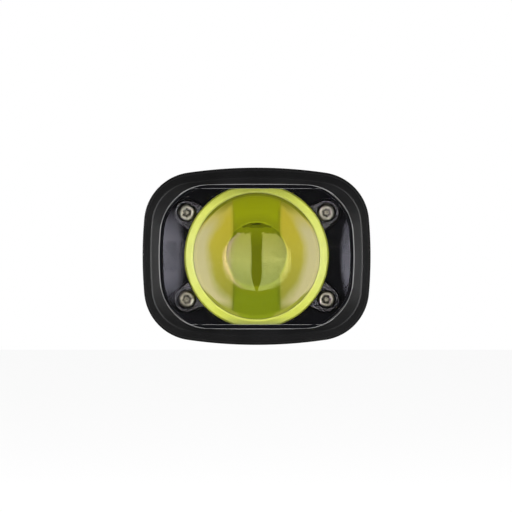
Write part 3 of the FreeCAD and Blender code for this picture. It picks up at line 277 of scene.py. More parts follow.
# %% Grid cards
def mirrored_card(name, rows, face, radiance, warm, cool, group, passes):
    """Grid card. Each row holds (x, z, glow, blush). It is cool at the foot and warm at the top.

    Only light that has passed that many clear surfaces shows it: none for the cover's own front,
    and four for the lens, whose reflection goes in and out through the cover. To all other light
    the card is clear, so that one card never hides another.
    """
    wide = len(rows[0])
    spots = [spot for row in rows for spot in row]
    quads = [(k * wide + n, k * wide + n + 1, (k + 1) * wide + n + 1, (k + 1) * wide + n)
             for k in range(len(rows) - 1) for n in range(wide - 1)]
    mesh = bpy.data.meshes.new(name)
    mesh.from_pydata([card_point(x, z, *face) for x, z, glow, blush in spots], [], quads)
    low, high = rows[0][0][1], rows[-1][0][1]
    for title, values in (("glow", [glow for x, z, glow, blush in spots]),
                          ("blush", [blush for x, z, glow, blush in spots]),
                          ("lift", [(z - low) / (high - low) for x, z, glow, blush in spots])):
        mesh.attributes.new(title, "FLOAT", "POINT").data.foreach_set("value", values)
    light = bpy.data.materials.new(name)
    light.use_nodes = True
    tree = light.node_tree
    tree.nodes.clear()
    glow, blush, lift = (add(tree, "ShaderNodeAttribute", attribute_name=title).outputs["Fac"]
                         for title in ("glow", "blush", "lift"))
    upright = add(tree, "ShaderNodeMix", {0: lift, 6: (*cool, 1), 7: (*warm, 1)}, data_type="RGBA")
    colour = add(tree, "ShaderNodeMix", {0: blush, 6: upright.outputs[2], 7: (*BLUSH, 1)},
                 data_type="RGBA")
    level = calc(tree, "MULTIPLY", glow, radiance)
    shine = add(tree, "ShaderNodeEmission", {"Color": colour.outputs[2], "Strength": level})
    path = add(tree, "ShaderNodeLightPath").outputs
    undiffused = calc(tree, "LESS_THAN", path["Diffuse Depth"], 0.5)
    shown = calc(tree, "MULTIPLY", undiffused,
                 calc(tree, "COMPARE", path["Transmission Depth"], passes, 0.5))
    clear = add(tree, "ShaderNodeBsdfTransparent")
    either = add(tree, "ShaderNodeMixShader", {0: shown, 1: clear.outputs[0], 2: shine.outputs[0]})
    add(tree, "ShaderNodeOutputMaterial", {0: either.outputs[0]})
    mesh.materials.append(light)
    card = bpy.data.objects.new(name, mesh)
    bpy.context.scene.collection.objects.link(card)
    card.visible_camera = card.visible_diffuse = card.visible_shadow = False
    card.light_linking.receiver_collection = lit_groups[group]
    card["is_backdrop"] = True
    print(card.name, "spans", [round(side, 2) for side in card.dimensions], "m")


print("card helper ready")

# %% [markdown]
# ## Half-round cards
# The lens shows two half rounds, so each card's rows run from the gap in the middle out to a round
# outline. A card is brightest near the gap, has a soft streak at mid height, and ends in a faint
# coloured edge, as a coated lens shows it.

# %% Half-round cards in the lens
CARD_HALF_W, CARD_HALF_H, CARD_MIDDLE = 10.2, 9.3, -1.0     # millimetres on the lens
CARD_TOP, CARD_FOOT, CARD_STEPS = 6.8, -10.2, 24
CARD_GAP = (                   # heights, and half of the gap there
    (6.8, 1.7), (2.5, 1.5), (-1.0, 1.35), (-4.5, 1.5), (-7.5, 1.1), (-9.4, 0.5), (-10.3, 0.05))
CARD_FADE = ((6.8, 0.6), (2.5, 1.0), (-3.0, 1.0), (-10.3, 0.6))     # heights, and the glow there
STREAK_GAIN, STREAK_HALF_H = 0.3, 0.7
CARD_GLOW, CARD_WARM, CARD_COOL = 8.6, (1.0, 0.9, 0.82), (0.80, 0.93, 1.1)
CARD_SHARES = (0, 0.06, 0.3, 0.6, 0.72, 0.83, 0.93, 1)      # from the gap to the outline
CARD_SIDES = {                 # way to go, and the glow and the blush at each share
    "left": (-1, (0.4, 1, 1, 0.95, 0.96, 1.02, 0.62, 0.1), (0, 0, 0, 0, 0.3, 1, 1, 1)),
    "right": (1, (0.4, 1, 1, 0.95, 0.94, 0.92, 0.8, 0.2), (0, 0, 0, 0, 0, 0, 0, 0)),
}
THROUGH_COVER_AND_BACK = 4     # clear surfaces that light has passed by then


def between(table, z):
    """Value at z in a table of (z, value) with falling z."""
    for (high, first), (low, second) in zip(table, table[1:]):
        if low <= z <= high:
            return second + (first - second) * (z - low) / (high - low)
    return table[-1][1]


for name, (side, glows, blushes) in CARD_SIDES.items():
    rows = []
    for number in range(CARD_STEPS + 1):
        z = CARD_FOOT + (CARD_TOP - CARD_FOOT) * number / CARD_STEPS
        reach = 1 - ((z - CARD_MIDDLE) / CARD_HALF_H) ** 2
        outer = CARD_HALF_W * math.sqrt(max(reach, 0.0))
        inner = min(between(CARD_GAP, z), outer)
        streak = 1 + STREAK_GAIN * math.exp(-((z - CARD_MIDDLE) / STREAK_HALF_H) ** 2)
        level = streak * between(CARD_FADE, z)
        rows.append([(side * (inner + (outer - inner) * share), z, glow * level, blush)
                     for share, glow, blush in zip(CARD_SHARES, glows, blushes)])
    mirrored_card(f"half_round_{name}", rows, (lens_apex, LENS_FACE_R), CARD_GLOW,
                  CARD_WARM, CARD_COOL, "both_glasses", THROUGH_COVER_AND_BACK)

# %% [markdown]
# ## Upright cards
# The cover mirrors one upright card near each end. Both fade out at the top and the foot, and bulge
# a little towards the middle, which shows that the cover is domed.

# %% Upright cards in the cover
SHEEN_FADE = (                 # shares of the height, and the glow there
    (0.0, 0.0), (0.15, 0.55), (0.35, 1.0), (0.65, 1.0), (0.85, 0.55), (1.0, 0.0))
SHEEN_ACROSS = ((0, 0.0), (0.25, 0.75), (0.5, 0.9), (0.9, 1.0), (1, 0.5))   # and of the width
SHEEN_BULGE = 1.4              # millimetres on the cover
SHEEN_WARM, SHEEN_COOL = (0.98, 0.86, 0.9), (0.95, 0.85, 0.9)
SHEENS = {                     # way to go, near and far edge, half height, radiance
    "left": (-1, -21.5, -29.6, 15.0, 3.9),
    "right": (1, 25.2, 29.4, 13.0, 4.9),
}
for name, (side, near, far, half_h, radiance) in SHEENS.items():
    rows = []
    for up, level in SHEEN_FADE:
        z = half_h * (2 * up - 1)
        bulge = SHEEN_BULGE * (1 - level) * side
        rows.append([(near + bulge + (far - near - bulge) * share, z, level * glow, 0)
                     for share, glow in SHEEN_ACROSS])
    mirrored_card(f"upright_{name}", rows, (cover_apex, COVER_DOME_R), radiance,
                  SHEEN_WARM, SHEEN_COOL, "cover_alone", 0)

# %% [markdown]
# ## World
# The camera sees plain white all round. Everything else sees a dim grey room with a bright patch
# straight behind the lamp. Only surfaces that face nearly sideways can mirror that patch, so it
# draws a thin light line round the outline and leaves the flanks dark.

# %% World: white for the camera, a dim room for the rest
ROOM_FRONT, ROOM_SIDE, ROOM_REAR = 0.03, 0.08, 0.85        # radiance
SIDES_FROM, SIDES_TO = -0.6, 0.3             # how far back each goes: -1 is the front, 1 the rear
PATCH_FROM, PATCH_TO = 0.975, 0.998
world = bpy.data.worlds.new("studio")
bpy.context.scene.world = world
world.use_nodes = True
sky = world.node_tree
sky.nodes.clear()
way = add(sky, "ShaderNodeSeparateXYZ", {0: add(sky, "ShaderNodeTexCoord").outputs["Generated"]})
side_glow = add(sky, "ShaderNodeMapRange", {
    "Value": way.outputs["Y"], "From Min": SIDES_FROM, "From Max": SIDES_TO,
    "To Min": ROOM_FRONT, "To Max": ROOM_SIDE})
rear_glow = add(sky, "ShaderNodeMapRange", {
    "Value": way.outputs["Y"], "From Min": PATCH_FROM, "From Max": PATCH_TO,
    "To Min": 0.0, "To Max": ROOM_REAR}, interpolation_type="SMOOTHSTEP")
glow = calc(sky, "ADD", side_glow.outputs[0], rear_glow.outputs[0])
room = add(sky, "ShaderNodeBackground", {"Strength": glow})
paper = add(sky, "ShaderNodeBackground", {"Color": (1, 1, 1, 1), "Strength": 1.0})
seen = add(sky, "ShaderNodeLightPath").outputs["Is Camera Ray"]
both = add(sky, "ShaderNodeMixShader", {0: seen, 1: room.outputs[0], 2: paper.outputs[0]})
add(sky, "ShaderNodeOutputWorld", {0: both.outputs[0]})
bpy.context.scene.view_settings.view_transform = "Standard"
print("room", ROOM_FRONT, "in front,", ROOM_REAR, "behind")

# %% [markdown]
# ## Floor
# The lamp hangs from its bracket, so the floor lies well below it and only carries a faint shadow.
# It is pale and glows a little, as paper on a light table does, which makes its far edge melt into
# the white. Soft mottling keeps it from looking like a cut-out. It is kept out of the reflections,
# which belong to the soft boxes.

# %% Pale floor
FLOOR_DROP, FLOOR_HALF = 0.12, 3.0           # metres
PAPER_TONES, PAPER_GLOW = (0.8, 0.86), 0.9
floor_mesh = bpy.data.meshes.new("floor")
corners = [(-1, -1), (1, -1), (1, 1), (-1, 1)]
floor_mesh.from_pydata([(x * FLOOR_HALF, y * FLOOR_HALF, -FLOOR_DROP) for x, y in corners],
                       [], [(0, 1, 2, 3)])
floor = bpy.data.objects.new("floor", floor_mesh)
bpy.context.scene.collection.objects.link(floor)
paper_finish = bpy.data.materials.new("floor_paper")
paper_finish.use_nodes = True
tree = paper_finish.node_tree
mottle = add(tree, "ShaderNodeTexNoise", {
    "Vector": add(tree, "ShaderNodeTexCoord").outputs["Object"], "Scale": 9.0, "Detail": 4.0})
tone = add(tree, "ShaderNodeMapRange", {
    "Value": mottle.outputs["Fac"], "To Min": PAPER_TONES[0], "To Max": PAPER_TONES[1]})
shader = tree.nodes["Principled BSDF"]
tree.links.new(tone.outputs[0], shader.inputs["Base Color"])
shader.inputs["Roughness"].default_value = 0.9
shader.inputs["Emission Color"].default_value = (1, 1, 1, 1)
shader.inputs["Emission Strength"].default_value = PAPER_GLOW
floor_mesh.materials.append(paper_finish)
floor.visible_glossy = False
floor.visible_transmission = False
floor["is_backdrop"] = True
print(f"floor {FLOOR_DROP / MM:.0f} mm below the axis")

# %% [markdown]
# ## What every finish shares
# Each finish is a Principled shader with patterns that break up its colour, roughness and relief.
# The patterns read Object coordinates, scaled so that one unit is a millimetre: a pattern then
# keeps its true size and stays put when the lamp tilts. A value that is the same all over the
# surface is set on the shader itself.

# %% Finish class
finishes = {}
WAVES_AT_SCALE_ONE = 0.314     # a wave texture repeats every 0.314 units at scale 1


class Finish:
    """A procedural material. Keyword arguments are the shader's constant sockets."""

    def __init__(self, slot, colour, roughness, **constants):
        self.material = bpy.data.materials.new(slot)
        self.material.use_nodes = True
        self.tree = self.material.node_tree
        self.shader = self.tree.nodes["Principled BSDF"]
        coordinates = add(self.tree, "ShaderNodeTexCoord").outputs["Object"]
        scale = {"Vector": coordinates, "Scale": (1 / MM, 1 / MM, 1 / MM)}
        self.place = add(self.tree, "ShaderNodeMapping", scale).outputs[0]
        self.set("Base Color", (*colour, 1))
        self.set("Roughness", roughness)
        for socket, value in constants.items():
            self.set(socket.replace("_", " "), value)
        finishes[slot] = self

    def set(self, socket, value):
        """Give a socket of the shader one value all over."""
        self.shader.inputs[socket].default_value = value

    def along(self, axis):
        """The shaded point's X, Y or Z, in millimetres."""
        return add(self.tree, "ShaderNodeSeparateXYZ", {0: self.place}).outputs[axis]

    def marked(self, title):
        """An attribute of the mesh, which is 0 on a piece that has none."""
        return add(self.tree, "ShaderNodeAttribute", attribute_name=title).outputs["Fac"]

    def noise(self, size, detail=2.0, stretch=(1, 1, 1)):
        """Noise from 0 to 1 whose spots are about size millimetres across."""
        place = add(self.tree, "ShaderNodeMapping", {"Vector": self.place, "Scale": stretch})
        return add(self.tree, "ShaderNodeTexNoise", {
            "Vector": place.outputs[0], "Scale": 1.0 / size, "Detail": detail}).outputs["Fac"]

    def rings(self, pitch, distortion=0.0):
        """Rings about the lens axis, as a lathe tool leaves them."""
        settings = {"Vector": self.place, "Scale": WAVES_AT_SCALE_ONE / pitch,
                    "Distortion": distortion, "Detail": 2.0}
        return add(self.tree, "ShaderNodeTexWave", settings,
                   wave_type="RINGS", rings_direction="Y").outputs["Fac"]

    def fit(self, field, low, high, start=0.3, end=0.7):
        """The field's stretch from start to end spread over low to high.

        Noise hardly ever leaves the stretch from 0.3 to 0.7.
        """
        return add(self.tree, "ShaderNodeMapRange", {
            "Value": field, "From Min": start, "From Max": end, "To Min": low, "To Max": high,
        }).outputs[0]

    def rise(self, field, start=0.3, end=0.7):
        """0 where the field is below the start, 1 where it is above the end."""
        return self.fit(field, 0.0, 1.0, start, end)

    def both(self, first, second):
        """The product of two fields."""
        return calc(self.tree, "MULTIPLY", first, second)

    def mix(self, field, first, second):
        """Colour that goes from first to second as the field goes from 0 to 1."""
        node = add(self.tree, "ShaderNodeMix", {0: field}, data_type="RGBA")
        for socket, colour in ((node.inputs[6], first), (node.inputs[7], second)):
            if isinstance(colour, bpy.types.NodeSocket):
                self.tree.links.new(colour, socket)
            else:
                socket.default_value = (*colour, 1)
        return node.outputs[2]

    def link(self, socket, value):
        """Let a field drive a socket of the shader."""
        self.tree.links.new(value, self.shader.inputs[socket])

    def tint(self, field, first, second):
        """Let the base colour go from first to second with the field."""
        self.link("Base Color", self.mix(field, first, second))

    def relief(self, field, height):
        """Bumps of a height in millimetres, on top of any that are there."""
        inputs = {"Height": field, "Distance": height * MM}
        bump = add(self.tree, "ShaderNodeBump", inputs)
        before = self.shader.inputs["Normal"]
        if before.is_linked:
            self.tree.links.new(before.links[0].from_socket, bump.inputs["Normal"])
        self.link("Normal", bump.outputs[0])


print("finish class ready")

# %% [markdown]
# ## Coated and cast metal
# The bezel, bracket and housing are aluminium and steel under a black powder coat. Powder melts
# into a skin with fine orange peel, so these finishes have two scales of noise in the relief and a
# slow drift in gloss. The casting is coarser than the bezel, because its skin was never machined.
# The bezel's lip and the crest at its sides carry a painted highlight: a paler grey where those
# edges catch the light. An attribute of its mesh says where.

# %% Powder coats
def powder_coat(slot, shade, roughness, peel, height):
    """Black coat whose orange peel is that many millimetres across and high."""
    coat = Finish(slot, (shade, shade, shade), roughness, Specular_IOR_Level=0.25)
    pale = (shade * 1.25, shade * 1.25, shade * 1.3)
    coat.tint(coat.rise(coat.noise(9.0, 3.0)), (shade * 0.8,) * 3, pale)
    drift = coat.noise(peel * 2.5, 4.0)
    coat.link("Roughness", coat.fit(drift, roughness - 0.06, roughness + 0.08))
    coat.relief(coat.noise(peel, 2.0), height)
    coat.relief(coat.noise(peel / 4, 1.0), height / 4)
    return coat


# the lip and the crest are painted this paler grey, a painted highlight
PAINTED_HIGHLIGHT_GREY = (0.20, 0.20, 0.20)
frame_coat = powder_coat("powder_black", 0.006, 0.38, 0.45, 0.010)
coat_unhighlighted = frame_coat.shader.inputs["Base Color"].links[0].from_socket
frame_coat.tint(frame_coat.marked("rubbed"), coat_unhighlighted, PAINTED_HIGHLIGHT_GREY)
powder_coat("bracket_coat", 0.014, 0.46, 0.5, 0.016)
powder_coat("cast_black", 0.014, 0.52, 0.7, 0.03)
print(sorted(finishes))

# %% [markdown]
# ## Lime metal
# The ring round the lens is turned aluminium with a lime anodised skin: the colour sits in a clear
# oxide, so the metal shows through as a sheen. A lathe's marks run round the axis, and they
# stretch a highlight across themselves, so the ring is brightest where it is level with the side
# lights. That stretch is the shader's anisotropy: its tangent goes round the lens axis, and a
# quarter turn of it points across the marks. The inner chamfer is painted paler, a painted
# highlight of its edge, and the ring's foot is painted darker, a painted shade.

# %% Lime ring
LENS_CLEAR_R = 18.95           # millimetres from the lens axis
RING_CHAMFER_R, CHAMFER_SOFT = LENS_CLEAR_R + 0.65, 0.1
RING_FOOT_Z = (-20.4, -18.0)   # a painted shade darkens the ring's foot, where the bezel shades it
LIMES = ((0.42, 0.46, 0.03), (0.46, 0.50, 0.042))           # patches of two limes
LIME_IN_SHADE, CHAMFER_PAINTED_HIGHLIGHT = (0.20, 0.225, 0.03), (0.56, 0.60, 0.10)


def from_lens_axis(finish):
    """How far the shaded point is from the lens axis, in millimetres."""
    squares = [finish.both(finish.along(axis), finish.along(axis)) for axis in "XZ"]
    return calc(finish.tree, "SQRT", calc(finish.tree, "ADD", *squares))


def turned_sheen(finish):
    """Stretch the highlights of a finish across marks that run round the lens axis."""
    tangent = add(finish.tree, "ShaderNodeTangent", direction_type="RADIAL", axis="Y")
    finish.link("Tangent", tangent.outputs[0])


ring = Finish("lime_anodised", (0.42, 0.50, 0.035), 0.48,
              Anisotropic=0.65, Anisotropic_Rotation=0.25, Specular_IOR_Level=0.8)
turned_sheen(ring)
lime = ring.mix(ring.rise(ring.noise(3.0, 3.0)), *LIMES)
# painted shade at the ring's foot
lime = ring.mix(ring.rise(ring.along("Z"), *RING_FOOT_Z), LIME_IN_SHADE, lime)
# painted highlight on the inner chamfer
past_chamfer = ring.rise(
    from_lens_axis(ring), RING_CHAMFER_R - CHAMFER_SOFT, RING_CHAMFER_R + CHAMFER_SOFT)
ring.tint(past_chamfer, CHAMFER_PAINTED_HIGHLIGHT, lime)
ring.link("Roughness", ring.fit(ring.noise(0.5, 3.0), 0.44, 0.52))
ring.relief(ring.rings(0.18, 0.4), 0.003)
print("lime ring, chamfer inside", RING_CHAMFER_R, "mm")

# %% [markdown]
# ## Lime barrel
# Behind the lens the barrel has the same skin, a little deeper. Its straight channel runs up the
# middle and is painted brighter towards the top, painted light. A round recess is sunk in it; its
# floor is painted darker as a painted shade, and its edge is painted bright as a painted highlight.
# The slanted cheeks beside it take an amber tone, darker towards the foot, and a painted reflection
# of the lens's rim pales them towards the outside. A painted shadow lies under the ring's lip at
# the top. Each zone is a field that rises from 0 to 1 across the zone's own edge.

# %% Lime barrel
CHANNEL_EDGE, CHANNEL_SOFT, CHANNEL_Z = 3.9, 0.5, (-5.0, 6.0)   # millimetres, as are all zones
RECESS_R, RECESS_SOFT, RECESS_Z = 5.2, 0.1, (1.2, 4.2)
RECESS_EDGE, BESIDE_RECESS = 0.06, 1.6
CHEEK_PALE_R, CHEEK_SOFT, CHEEK_Z = 9.0, 0.9, (-9.0, 7.0)
CHEEK_PALE_TOP, CHEEK_PALE_FOOT = (4.5, 8.5), (-8.8, -7.8)
RIM_SHADE_R, RIM_SHADE_Z = (8.8, 9.25), (6.8, 8.8)
CHEEK_AMBERS = ((0.30, 0.31, 0.04), (0.60, 0.49, 0.035))        # at the foot and at the top
CHANNEL_PAINTED_LIGHT_LIMES = ((0.21, 0.265, 0.007), (0.34, 0.375, 0.004))
RECESS_PAINTED_SHADE_LIMES = ((0.145, 0.165, 0.002), (0.215, 0.245, 0.002))
CHEEK_PAINTED_REFLECTION, BESIDE_RECESS_LIME = (0.60, 0.54, 0.28), (0.25, 0.28, 0.005)
EDGE_PAINTED_HIGHLIGHT, RIM_PAINTED_SHADOW = (0.60, 0.68, 0.02), (0.19, 0.20, 0.008)

barrel = Finish("lime_inner", (0.34, 0.36, 0.01), 0.38,
                Anisotropic=0.7, Anisotropic_Rotation=0.25, Specular_IOR_Level=0.6)
turned_sheen(barrel)
up, from_axis = barrel.along("Z"), from_lens_axis(barrel)
wander = calc(barrel.tree, "ADD", from_axis, barrel.fit(barrel.noise(4.0, 2.0), -0.4, 0.4))
# the outer cheeks pale: a painted reflection of the lens's rim
pale = barrel.rise(wander, CHEEK_PALE_R - CHEEK_SOFT, CHEEK_PALE_R + CHEEK_SOFT)
pale = barrel.both(pale, barrel.fit(up, 1.0, 0.0, *CHEEK_PALE_TOP))
pale = barrel.both(pale, barrel.rise(up, *CHEEK_PALE_FOOT))
amber = barrel.mix(barrel.rise(up, *CHEEK_Z), *CHEEK_AMBERS)
cheek = barrel.mix(pale, amber, CHEEK_PAINTED_REFLECTION)
# the channel is painted brighter towards the top: painted light
channel = barrel.mix(barrel.rise(up, *CHANNEL_Z), *CHANNEL_PAINTED_LIGHT_LIMES)
past_near = barrel.rise(from_axis, RECESS_R, RECESS_R + BESIDE_RECESS)
channel = barrel.mix(past_near, BESIDE_RECESS_LIME, channel)
# the recess floor is painted darker: painted shade
recess = barrel.mix(barrel.rise(up, *RECESS_Z), *RECESS_PAINTED_SHADE_LIMES)
past_recess = barrel.rise(from_axis, RECESS_R - RECESS_SOFT, RECESS_R + RECESS_SOFT)
channel = barrel.mix(past_recess, recess, channel)
across = calc(barrel.tree, "ABSOLUTE", barrel.along("X"))
on_cheek = barrel.rise(across, CHANNEL_EDGE - CHANNEL_SOFT, CHANNEL_EDGE + CHANNEL_SOFT)
anodised = barrel.mix(barrel.both(on_cheek, past_recess), channel, cheek)
# painted highlight on the recess's edge
step = calc(barrel.tree, "COMPARE", from_axis, RECESS_R, RECESS_EDGE)
anodised = barrel.mix(step, anodised, EDGE_PAINTED_HIGHLIGHT)
# painted shadow under the ring's upper lip
under_ring = barrel.both(barrel.rise(from_axis, *RIM_SHADE_R), barrel.rise(up, *RIM_SHADE_Z))
barrel.tint(under_ring, anodised, RIM_PAINTED_SHADOW)
barrel.link("Roughness", barrel.fit(barrel.noise(1.2, 3.0), 0.32, 0.45))
barrel.relief(barrel.rings(0.35, 0.6), 0.006)
print("lime barrel, recess", RECESS_R, "mm in radius")

# %% [markdown]
# ## Bare metal
# Plated, stainless and zinc surfaces are all metal, and differ in how they were worked. Brushing
# is noise stretched along one direction, and zinc has blurred patches. A screw's recess gets a
# painted shade: an attribute that the lathe leaves there darkens it.

# %% Plated ears, screws, bolts and contacts
PATCH_SHARE, RECESS_SHADE_SHARE = 0.72, 0.16       # how dark patches are, and how dark the painted shade in recesses is


def bare_metal(slot, colour, roughness, stretch, patch, height=0.002):
    """Metal with strokes stretched by x, y, z, and patches of a size in millimetres."""
    metal = Finish(slot, colour, roughness, Metallic=1.0)
    strokes = metal.noise(0.12, 2.0, stretch)
    dark, shade_in_recess = (tuple(part * share for part in colour) for share in (PATCH_SHARE, RECESS_SHADE_SHARE))
    clean = metal.mix(metal.rise(metal.noise(patch, 3.0)), dark, colour)
    # painted shade in the screw's recess
    metal.tint(metal.marked("recess"), clean, shade_in_recess)
    metal.link("Roughness", metal.fit(strokes, roughness - 0.07, roughness + 0.1))
    metal.relief(strokes, height)


bare_metal("bright_plate", (0.045, 0.043, 0.045), 0.30, (0.12, 1, 1), 2.5)
bare_metal("stainless", (0.225, 0.21, 0.16), 0.40, (1, 1, 1), 0.9)
bare_metal("zinc_steel", (0.52, 0.54, 0.55), 0.36, (1, 1, 0.2), 1.4, 0.004)
bare_metal("contact_brass", (0.78, 0.52, 0.20), 0.24, (1, 1, 0.1), 1.0)
bare_metal("capacitor_can", (0.62, 0.63, 0.64), 0.28, (1, 0.15, 1), 1.2)
mirror = Finish("mirror_bowl", (0.85, 0.86, 0.84), 0.04, Metallic=1.0)
mirror.link("Roughness", mirror.fit(mirror.noise(1.5, 3.0), 0.03, 0.08))
mirror.relief(mirror.noise(2.5, 2.0), 0.002)
print("metals ready")

# %% [markdown]
# ## Clear pieces
# The cover is a hard-coated polycarbonate shell and the lens is solid glass. Both are Principled
# shaders with full transmission, so they bend what lies behind them. The cover's hard coat is a
# thin film, a few hundred nanometres thick, which tints its reflections violet and blue. The
# lens has a coating that mirrors hardly any blue, so what it shows is yellow. A little haze in the
# roughness keeps reflections from looking computed. The cover's rim is painted black and lets no
# light through: a painted dark line in place of the one that the rim shows by refraction.
# It ends in a straight line above and below the ring.

# %% Cover and lens
PAINTED_BAND_HALF_H, PAINTED_BAND_SOFT = 20.55, 0.04       # millimetres from the middle to the straight edges of the painted dark band
PAINTED_EDGE_BLACK = (0.004, 0.004, 0.005)
cover = Finish("clear_cover", (1, 1, 1), 0.0, Transmission_Weight=1.0, IOR=1.5,
               Thin_Film_Thickness=210.0, Thin_Film_IOR=1.53)
cover.link("Roughness", cover.fit(cover.noise(6.0, 4.0), 0.0, 0.012))
from_middle = calc(cover.tree, "ABSOLUTE", cover.along("Z"))
band = cover.rise(from_middle, PAINTED_BAND_HALF_H - PAINTED_BAND_SOFT, PAINTED_BAND_HALF_H + PAINTED_BAND_SOFT)
# the rim's leaning faces and a band above and below the ring are painted black, a painted dark line
painted_dark = calc(cover.tree, "MAXIMUM", cover.marked("dark_edge_paint"), band)
cover.link("Transmission Weight", calc(cover.tree, "SUBTRACT", 1.0, painted_dark))
cover.tint(painted_dark, (1, 1, 1), PAINTED_EDGE_BLACK)
lens = Finish("lens_glass", (0.99, 1.0, 0.97), 0.0, Transmission_Weight=1.0, IOR=1.49,
              Specular_Tint=(1.0, 1.0, 0.37, 1))
lens.link("Roughness", lens.fit(lens.noise(5.0, 3.0), 0.0, 0.01))
print("clear finishes ready")

# %% [markdown]
# ## Plastics, rubber and the parts on the board
# Gloss black plastic is nearly a mirror, but a moulding is never flat: slow swells of a few
# hundredths of a millimetre bend its reflections. Rubber and nylon scatter light instead, with a
# fine grain. The board has a green mask over copper tracks, which a brick pattern can suggest.

# %% Plastic, rubber and electronics
gloss = Finish("gloss_black", (0.006, 0.006, 0.008), 0.06, Coat_Weight=0.6, Coat_Roughness=0.03)
gloss.link("Roughness", gloss.fit(gloss.noise(2.0, 3.0), 0.04, 0.10))
gloss.relief(gloss.noise(7.0, 1.0), 0.05)


def dull(slot, colour, roughness, grain, height, **constants):
    """Moulded or rubbery finish whose grain is about that many millimetres across."""
    matt = Finish(slot, colour, roughness, **constants)
    matt.tint(matt.rise(matt.noise(grain * 6, 3.0)), tuple(part * 0.75 for part in colour), colour)
    drift = matt.noise(grain * 2, 3.0)
    matt.link("Roughness", matt.fit(drift, roughness - 0.08, roughness + 0.08))
    matt.relief(matt.noise(grain, 2.0), height)


dull("nylon_black", (0.03, 0.03, 0.032), 0.48, 0.25, 0.008)
dull("inlet_plastic", (0.025, 0.025, 0.026), 0.42, 0.2, 0.006)
dull("silicone", (0.05, 0.05, 0.052), 0.6, 0.3, 0.008, Sheen_Weight=0.2)
dull("silicone_grey", (0.33, 0.34, 0.36), 0.65, 0.3, 0.01)
dull("component_black", (0.02, 0.02, 0.02), 0.5, 0.12, 0.005)
dull("ferrite", (0.06, 0.058, 0.055), 0.55, 0.2, 0.01)
dull("wire_red", (0.45, 0.02, 0.015), 0.4, 0.3, 0.004, Coat_Weight=0.2)
dull("vent_white", (0.75, 0.75, 0.73), 0.7, 0.06, 0.004)
dull("led_package", (0.82, 0.62, 0.12), 0.35, 0.4, 0.003, Coat_Weight=0.5)
for slot, mask, track in (("circuit_board", (0.01, 0.09, 0.03), (0.03, 0.17, 0.06)),
                          ("metal_core_board", (0.72, 0.73, 0.72), (0.55, 0.56, 0.56))):
    board = Finish(slot, mask, 0.32, Coat_Weight=0.3)
    turned_flat = add(board.tree, "ShaderNodeMapping", {
        "Vector": board.place, "Rotation": (math.radians(90), 0, 0)})
    tracks = add(board.tree, "ShaderNodeTexBrick", {
        "Vector": turned_flat.outputs[0], "Scale": 0.45, "Mortar Size": 0.05}).outputs["Fac"]
    board.tint(tracks, mask, track)
    board.link("Roughness", board.fit(board.noise(1.0, 2.0), 0.26, 0.4))
    board.relief(tracks, 0.03)

# %% [markdown]
# ## Shapes drawn round an outline
# The bezel, the cover and what lies behind them all follow the same kind of outline: a rounded
# oblong made of eight arcs that run into each other without a kink. A modifier can't know such a
# curve, so it is worked out: each corner arc touches the top arc and the side arc, which fixes its
# centre. A moulding is then a list of such outlines at rising depths, joined by a skin of quads.

# %% Outlines of eight arcs
ARC_STEPS = (16, 28, 16)       # on the side, corner and top arcs of one quarter


def arc_points(centre, radius, start, end, steps):
    """Points on an arc, without its end."""
    for number in range(steps):
        turn = start + (end - start) * number / steps
        yield centre[0] + radius * math.cos(turn), centre[1] + radius * math.sin(turn)


def outline(half_w, half_h, top_r, side_r, corner_r):
    """Points (x, z) once round the outline, in millimetres."""
    side_x, top_z = half_w - side_r, half_h - top_r
    reach_top, reach_side = top_r - corner_r, side_r - corner_r
    apart = math.hypot(side_x, top_z)
    along = (reach_top ** 2 - reach_side ** 2 + apart ** 2) / (2 * apart)
    across = math.sqrt(reach_top ** 2 - along ** 2)
    ux, uz = side_x / apart, -top_z / apart
    cx, cz = along * ux + across * uz, top_z + along * uz - across * ux
    side_end = math.atan2(cz, cx - side_x)
    top_end = math.atan2(cz - top_z, cx)
    quarter = [*arc_points((side_x, 0), side_r, 0, side_end, ARC_STEPS[0]),
               *arc_points((cx, cz), corner_r, side_end, top_end, ARC_STEPS[1]),
               *arc_points((0, top_z), top_r, top_end, math.pi / 2, ARC_STEPS[2]),
               (0, half_h)]
    upper = quarter + [(-x, z) for x, z in quarter[-2::-1]]
    return upper + [(x, -z) for x, z in upper[-2:0:-1]]


def grown(sizes, by):
    """The outline's sizes when it is offset outwards by some millimetres."""
    return tuple(size + by for size in sizes)


BEZEL_RADII = (144.0, 129.0, 15.5)           # of the top, side and corner arcs, in millimetres
SEAT_RADII = (1500.0, 90.0, 22.0)
WINDOW_RADII = (1500.0, 90.0, 14.9)
COVER_LEDGE = 2.6              # the cover's flange beyond its window
seat_half_w, seat_half_h = half_size("cover_lens")
bezel_sizes = (*half_size("front_bezel"), *BEZEL_RADII)
seat_sizes = (seat_half_w, seat_half_h, *SEAT_RADII)
window_sizes = (seat_half_w - COVER_LEDGE, seat_half_h - COVER_LEDGE, *WINDOW_RADII)
print("bezel, seat and window, half width and height:",
      [[round(side, 2) for side in sizes[:2]] for sizes in (bezel_sizes, seat_sizes, window_sizes)])

# %% [markdown]
# ## From rows to a finished piece
# The skin keeps a softness for each row. A Bevel modifier reads it as an edge weight, so a crest
# can be rounded by a third of a millimetre while the line where plastic meets metal stays crisp.
# Once a modifier has done its work, its result is taken as a plain mesh, because the moving bodies
# need one.

# %% Plain meshes
SAME_PLACE = 1e-6              # vertices this close, in metres, are one


def link_mesh(name, mesh):
    """A new object in the scene with this mesh."""
    piece = bpy.data.objects.new(name, mesh)
    bpy.context.scene.collection.objects.link(piece)
    return piece


def baked(piece):
    """Turn the piece's modifiers into mesh."""
    evaluated = piece.evaluated_get(bpy.context.evaluated_depsgraph_get())
    shaped = bpy.data.meshes.new_from_object(evaluated)
    piece.modifiers.clear()
    piece.data = shaped
    return piece


